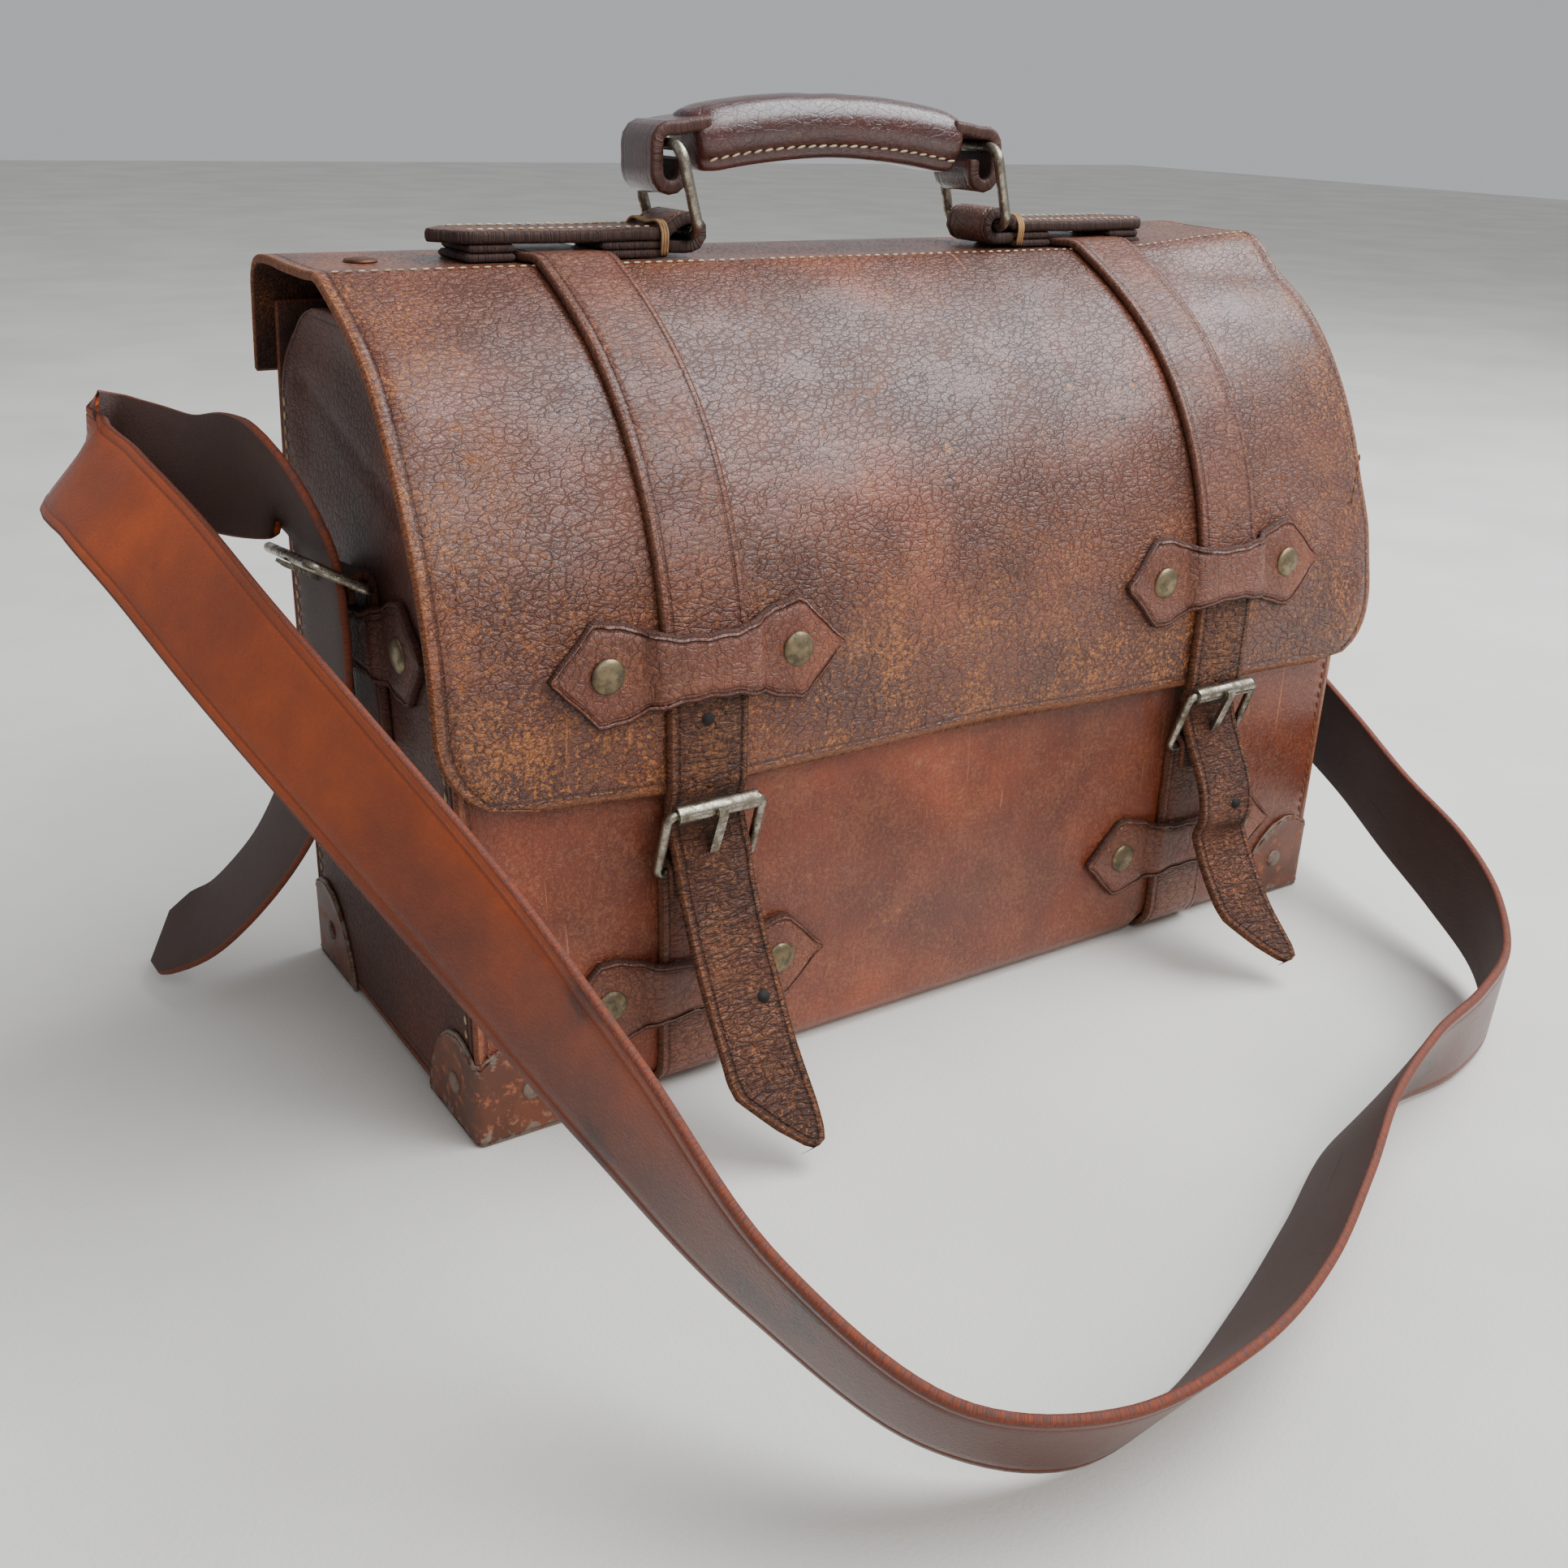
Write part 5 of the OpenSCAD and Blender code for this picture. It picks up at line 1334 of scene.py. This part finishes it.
STRAP_ROUTE = (
    (-258, 98, 11.5, 0.2, -1, 0.2), (-246, 78, 24, 0.1, -1, 0.2), (-233, 55, 48, 0, -1, 0.2),
    (-221, 34, 80, 0, -1, 0.1), (-214, 14, 116, 0, -1, 0.1), (-212, 3, 148, 0, -1, 0.1),
    (-213, 0, 170, 0, -1, 0.1), (-215, -1, 188, 0, -1, 0.1), (-221, 3, 202, 0.1, -1, 0.2),
    (-232, 30, 207, 0.4, -0.7, 0.5), (-243, 55, 205, 0.6, -0.4, 0.6), (-252, 80, 206, 0.7, -0.2, 0.7),
    (-260, 94, 206, 0.7, -0.2, 0.7), (-267, 86, 203, 0.7, -0.2, 0.7), (-266, 60, 198, 0.7, -0.2, 0.7),
    (-260, 22, 187, 0.7, -0.2, 0.7), (-252, -30, 169, 0.6, -0.2, 0.8), (-238, -86, 143, 0.5, -0.3, 0.8),
    (-222, -140, 114, 0.4, -0.4, 0.8), (-208, -190, 85, 0.2, -0.5, 0.9), (-192, -240, 54, -0.1, -0.6, 0.8),
    (-164, -280, 29, -0.1, -0.6, 0.8), (-128, -296, 19.5, 0.1, -0.5, 0.9), (-84, -294, 18.5, 0.2, -0.5, 0.8),
    (-40, -280, 18, 0.2, -0.6, 0.8), (0, -262, 20, 0.2, -0.5, 0.8), (44, -240, 21, 0.1, -0.5, 0.9),
    (84, -228, 21, 0.1, -0.3, 0.9), (124, -222, 21, 0, -0.1, 1), (158, -209, 22, -0.1, -0.1, 1),
    (184, -186, 27, -0.1, -0.1, 1), (202, -152, 36, 0, -0.2, 1), (213, -114, 47, -0.1, -0.2, 1),
    (225, -80, 57, -0.1, -0.2, 1), (236, -46, 66, 0, -0.1, 1), (246, -8, 78, 0, -0.1, 1),
    (252, 34, 100, -0.1, -0.1, 1), (256, 70, 132, -0.4, -0.1, 0.9), (258, 92, 164, -0.6, -0.1, 0.7),
    (252, 96, 186, -0.8, -0.2, 0.5), (242, 76, 196, -0.7, -0.5, 0.4), (232, 36, 207, -0.4, -0.8, 0.4),
    (221, 3, 202, -0.1, -1, 0.2), (215, -1, 188, 0, -1, 0.1), (213, 0, 170, 0, -1, 0.1),
    (212, 3, 148, 0, -1, 0.1), (216, 14, 112, 0, -1, 0.1), (226, 34, 76, 0, -1, 0.2),
    (238, 56, 44, -0.1, -1, 0.2), (252, 78, 18, -0.2, -1, 0.2))


def make_shoulder_strap():
    """The long strap, from its left free end round the front to its right free end."""
    route = np.array(STRAP_ROUTE, float)
    wide = route[:, 3:] / np.linalg.norm(route[:, 3:], axis=1)[:, None]
    both = resample(np.column_stack([route[:, :3], wide * 60]), 5.0)
    path = both[:, :3]
    _, wide, _ = frames(path, both[:, 3:])
    for _ in range(11):
        wide[1:-1] = (wide[:-2] + 2 * wide[1:-1] + wide[2:]) / 4
    length = lengths(path)
    to_end = np.minimum(length, length[-1] - length)
    half = size("band_width") / 2 - 7.5 * (1 - smooth_step(to_end, 0, 16)) ** 2
    made = strip("shoulder_band", path, wide, half, half, size("band_thick"), "root", cols=10, crease=3.8,
                 middle=True)
    dress(made, "strap", ("shoulder_strap",))
    return length[-1]


def make_caps():
    """The four pressed steel corner caps and their small rivets."""
    rim = ((0, 31), (3, 33.2), (8, 36), (14, 37), (22, 34.5), (30, 28), (36, 18.5), (40, 8), (41.2, 2.4))
    heads = []
    for s, side in SIDES:
        for f, end in ((-1, "front"), (1, "back")):
            d = np.concatenate([np.arange(-41, -2, 2.0), [-2.0]])
            corner = np.radians(np.arange(0, 91, 18))
            line, reach = [], []
            for q in d:
                line.append((s * 200.1, f * (79.1 + q)))
                reach.append(-q)
            for a in corner[1:-1]:
                line.append((s * (198.1 + 2 * math.cos(a)), f * (77.1 + 2 * math.sin(a))))
                reach.append(0.6)
            for q in d[::-1]:
                line.append((s * (200.1 + q), f * 79.1))
                reach.append(-q)
            path = np.array([(x, y, 1.4) for x, y in line])
            tall = np.interp(reach, *zip(*rim)) - 1.4
            cap = strip(f"corner_cap_{end}_{side}", path, (0, 0, 1), 1.2, tall, 1.2, "root",
                        flip=s * f < 0, cols=8, crease=2.0, groove=-0.3, shape=settle)
            dress(cap, "enamel", (f"cap_{end}_{side}",))
            half = np.interp(np.linspace(0, 1, 12), [0, 0.4, 1], [9, 14, 15.5])
            line = [(s * q, f * 63.5, 0.12) for q in np.linspace(166, 200.5, 12)]
            foot = strip(f"corner_foot_{end}_{side}", line, (0, 1, 0), half, half, 1.15, "root",
                         flip=s < 0, cols=4, crease=0)
            dress(foot, "enamel")
            heads.append(((s * (200 - 19), f * 80.35, 17.5), (0, f, 0)))
            heads.append(((s * 201.35, f * (79 - 17), 16.5), (s, 0, 0)))
    rivets("cap_pins", heads, "root", "enamel", size("pin_radius"), 1.2, ("cap_rivets",))


def make_sewing():
    """Rows of stitches on the flap's top, the front panel's ends and the gusset seams."""
    pitch, thread = size("pitch"), size("thread")
    across = np.linspace(-HALF_LEN, HALF_LEN, 90)
    top = [[(on_flap([(x, y, 272.15)])[0] + (0, 0, -0.15), (0, 0, 1)) for x in across] for y in (4.5, 54)]
    stitches("top_stitches", top, "flap", "cream", pitch, 3.0, 0.9 * thread)
    ends, seams = [], []
    for s in (-1, 1):
        for f in (-1, 1):
            row = []
            for z in np.linspace(20, 196 if f < 0 else 225, 60):
                y = -HALF_DEPTH if f < 0 else float(back_y(z))
                row.append((settle([(s * 195.5, y + f * 0.05, z)])[0], (0, f, 0)))
            ends.append(row)
            row = []
            for z in np.linspace(40, 222, 60):
                if f > 0:
                    row.append(((s * 200.15, float(back_y(z)) - 7.4, z), (s, 0, 0)))
                elif z <= 150:
                    sunk = size("slump") * float(smooth_step(z, 50, 150)) if s < 0 else 0.0
                    row.append(((s * 200.15, -71.5 + sunk, z), (s, 0, 0)))
            seams.append(row)
    stitches("panel_stitches", ends, "root", "rust", 1.05 * pitch, 3.2, 1.1 * thread)
    stitches("gusset_stitches", seams, "root", "cream", 5.0, 3.4, 0.9)
    back = [[((x, float(back_y(236)) + 3.2, 236), (0, 1, 0)) for x in across]]
    stitches("back_stitches", back, "root", "rust", pitch, 3.0, thread)


def make_metal():
    """Gives the CAD buckles, rollers, prongs and rings their aged nickel."""
    for name, obj in frame["nodes"].items():
        if name.startswith(("buckle_frame", "roller", "prong", "ring_", "side_buckle", "side_prong")):
            obj.data.materials.clear()
            obj.data.materials.append(finish("metal"))


def make_stage():
    """Pale floor, soft daylight and the camera."""
    made = bpy.data.meshes.new("floor")
    made.from_pydata([(-6, -6, 0), (6, -6, 0), (6, 6, 0), (-6, 6, 0)], [], [(0, 1, 2, 3)])
    floor = bpy.data.objects.new("floor", made)
    floor.location = (0, 0, -0.0002)
    bpy.context.scene.collection.objects.link(floor)
    paint, tree, shader = new_material("pale_floor")
    at = object_at(tree)
    cloud = noise_of(tree, at, 5.0, 5.0)
    tone = blend_of(tree, ramp(tree, cloud, 0.3, 0.7), tinted("floor", 0.88), tinted("floor", 1.0))
    tree.links.new(tone, shader.inputs["Base Color"])
    shader.inputs["Roughness"].default_value = 0.85
    roughen(tree, shader, noise_of(tree, at, 700.0, 4.0), 0.25, 0.0008)
    made.materials.append(paint)
    world = bpy.data.worlds.new("soft_daylight")
    bpy.context.scene.world = world
    world.use_nodes = True
    world.node_tree.nodes["Background"].inputs["Color"].default_value = (0.93, 0.95, 1.0, 1)
    world.node_tree.nodes["Background"].inputs["Strength"].default_value = 0.5
    for name, place, aim, size, power, tint in (
            ("sky_panel", (0.95, -0.35, 1.6), (0, 0, 0.2), (1.7, 1.3), 58, (0.9, 0.95, 1.0)),
            ("high_panel", (0.3, -1.9, 1.7), (0, 0, 0.12), (2.2, 1.4), 34, (1.0, 0.98, 0.95))):
        data = bpy.data.lights.new(name, "AREA")
        data.shape = "RECTANGLE"
        data.size, data.size_y = size
        data.energy = power
        data.color = tint
        lamp = bpy.data.objects.new(name, data)
        lamp.location = place
        lamp.rotation_mode = "QUATERNION"
        lamp.rotation_quaternion = (Vector(aim) - Vector(place)).to_track_quat("-Z", "Y")
        bpy.context.scene.collection.objects.link(lamp)
    turn, rise, roll = math.radians(-33.87), math.radians(23.12), math.radians(1.97)
    back = Vector((math.sin(turn) * math.cos(rise), -math.cos(turn) * math.cos(rise), math.sin(rise)))
    right = (-back).cross(Vector((0, 0, 1))).normalized()
    up = right.cross(-back)
    across = right * math.cos(roll) + up * math.sin(roll)
    above = up * math.cos(roll) - right * math.sin(roll)
    data = bpy.data.cameras.new("view")
    data.lens, data.sensor_width = 37.70, 36.0
    data.clip_start, data.clip_end = 0.01, 60
    camera = bpy.data.objects.new("view", data)
    bpy.context.scene.collection.objects.link(camera)
    camera.matrix_world = Matrix((
        (across.x, above.x, back.x, -0.3732), (across.y, above.y, back.y, -0.5111),
        (across.z, above.z, back.z, 0.3299), (0, 0, 0, 1)))
    bpy.context.scene.camera = camera


class SATCHEL_OT_stage(bpy.types.Operator):
    """Make the pale floor, the soft light and the camera"""

    bl_idname = "satchel.stage"
    bl_label = "Stage"

    def execute(self, context):
        make_stage()
        return {"FINISHED"}


class SATCHEL_OT_shoulder_strap(bpy.types.Operator):
    """Make the long strap that runs round the front"""

    bl_idname = "satchel.shoulder_strap"
    bl_label = "Shoulder strap"

    def execute(self, context):
        make_shoulder_strap()
        return {"FINISHED"}


class SATCHEL_OT_body(bpy.types.Operator):
    """Make the wrapped hide and the two end panels"""

    bl_idname = "satchel.body"
    bl_label = "Body"

    def execute(self, context):
        make_body()
        return {"FINISHED"}


class SATCHEL_OT_flap(bpy.types.Operator):
    """Make the flap, the board under its top and the board's rivets"""

    bl_idname = "satchel.flap"
    bl_label = "Flap"

    def execute(self, context):
        make_flap()
        return {"FINISHED"}


class SATCHEL_OT_belts(bpy.types.Operator):
    """Make both belts, their free ends and the dark discs of painted shade in the punched holes"""

    bl_idname = "satchel.belts"
    bl_label = "Belts"

    def execute(self, context):
        make_belts()
        return {"FINISHED"}


class SATCHEL_OT_keepers(bpy.types.Operator):
    """Make the four bow-tie keepers on the front with their rivets"""

    bl_idname = "satchel.keepers"
    bl_label = "Keepers"

    def execute(self, context):
        make_keepers()
        return {"FINISHED"}


class SATCHEL_OT_end_tabs(bpy.types.Operator):
    """Make the strap tabs and keepers on the two ends"""

    bl_idname = "satchel.end_tabs"
    bl_label = "End tabs"

    def execute(self, context):
        make_ends()
        return {"FINISHED"}


class SATCHEL_OT_handle(bpy.types.Operator):
    """Make the padded grip, its loops and its stitches"""

    bl_idname = "satchel.handle"
    bl_label = "Handle"

    def execute(self, context):
        make_handle()
        return {"FINISHED"}


class SATCHEL_OT_chapes(bpy.types.Operator):
    """Make the chapes that hold the rings, with their binding"""

    bl_idname = "satchel.chapes"
    bl_label = "Chapes"

    def execute(self, context):
        make_chapes()
        return {"FINISHED"}


class SATCHEL_OT_corner_caps(bpy.types.Operator):
    """Make the four corner caps and their small rivets"""

    bl_idname = "satchel.corner_caps"
    bl_label = "Corner caps"

    def execute(self, context):
        make_caps()
        return {"FINISHED"}


class SATCHEL_OT_sewing(bpy.types.Operator):
    """Make the rows of stitches on the flap, panels and ends"""

    bl_idname = "satchel.sewing"
    bl_label = "Sewing"

    def execute(self, context):
        make_sewing()
        return {"FINISHED"}


class SATCHEL_OT_metal(bpy.types.Operator):
    """Give the buckles, rollers, prongs and rings their aged nickel"""

    bl_idname = "satchel.metal"
    bl_label = "Metal fittings"

    def execute(self, context):
        make_metal()
        return {"FINISHED"}


class SATCHEL_PT_pieces(bpy.types.Panel):
    """Sizes, colours and pieces of the satchel"""

    bl_idname = "SATCHEL_PT_pieces"
    bl_label = "Leather satchel"
    bl_space_type = "VIEW_3D"
    bl_region_type = "UI"
    bl_category = "Satchel"

    def draw(self, context):
        scene = context.scene
        for title, group in (("Sizes", scene.satchel_sizes), ("Colours", scene.satchel_colours)):
            box = self.layout.box()
            box.label(text=title)
            for key in group.__annotations__:
                box.prop(group, key)
        column = self.layout.column(align=True)
        for operator in OPERATORS:
            column.operator(operator.bl_idname, text=operator.bl_label)


OPERATORS = (
    SATCHEL_OT_stage, SATCHEL_OT_shoulder_strap, SATCHEL_OT_body, SATCHEL_OT_flap, SATCHEL_OT_belts,
    SATCHEL_OT_keepers, SATCHEL_OT_end_tabs, SATCHEL_OT_handle, SATCHEL_OT_chapes, SATCHEL_OT_corner_caps,
    SATCHEL_OT_sewing, SATCHEL_OT_metal,
)
CLASSES = (SatchelSizes, SatchelColours) + OPERATORS + (SATCHEL_PT_pieces,)


def register():
    for made in CLASSES:
        bpy.utils.register_class(made)
    bpy.types.Scene.satchel_sizes = bpy.props.PointerProperty(type=SatchelSizes)
    bpy.types.Scene.satchel_colours = bpy.props.PointerProperty(type=SatchelColours)


def unregister():
    del bpy.types.Scene.satchel_colours
    del bpy.types.Scene.satchel_sizes
    for made in reversed(CLASSES):
        bpy.utils.unregister_class(made)


def main():
    register()
    for operator in OPERATORS:
        group, name = operator.bl_idname.split(".")
        getattr(getattr(bpy.ops, group), name)()


if __name__ == "__main__":
    main()
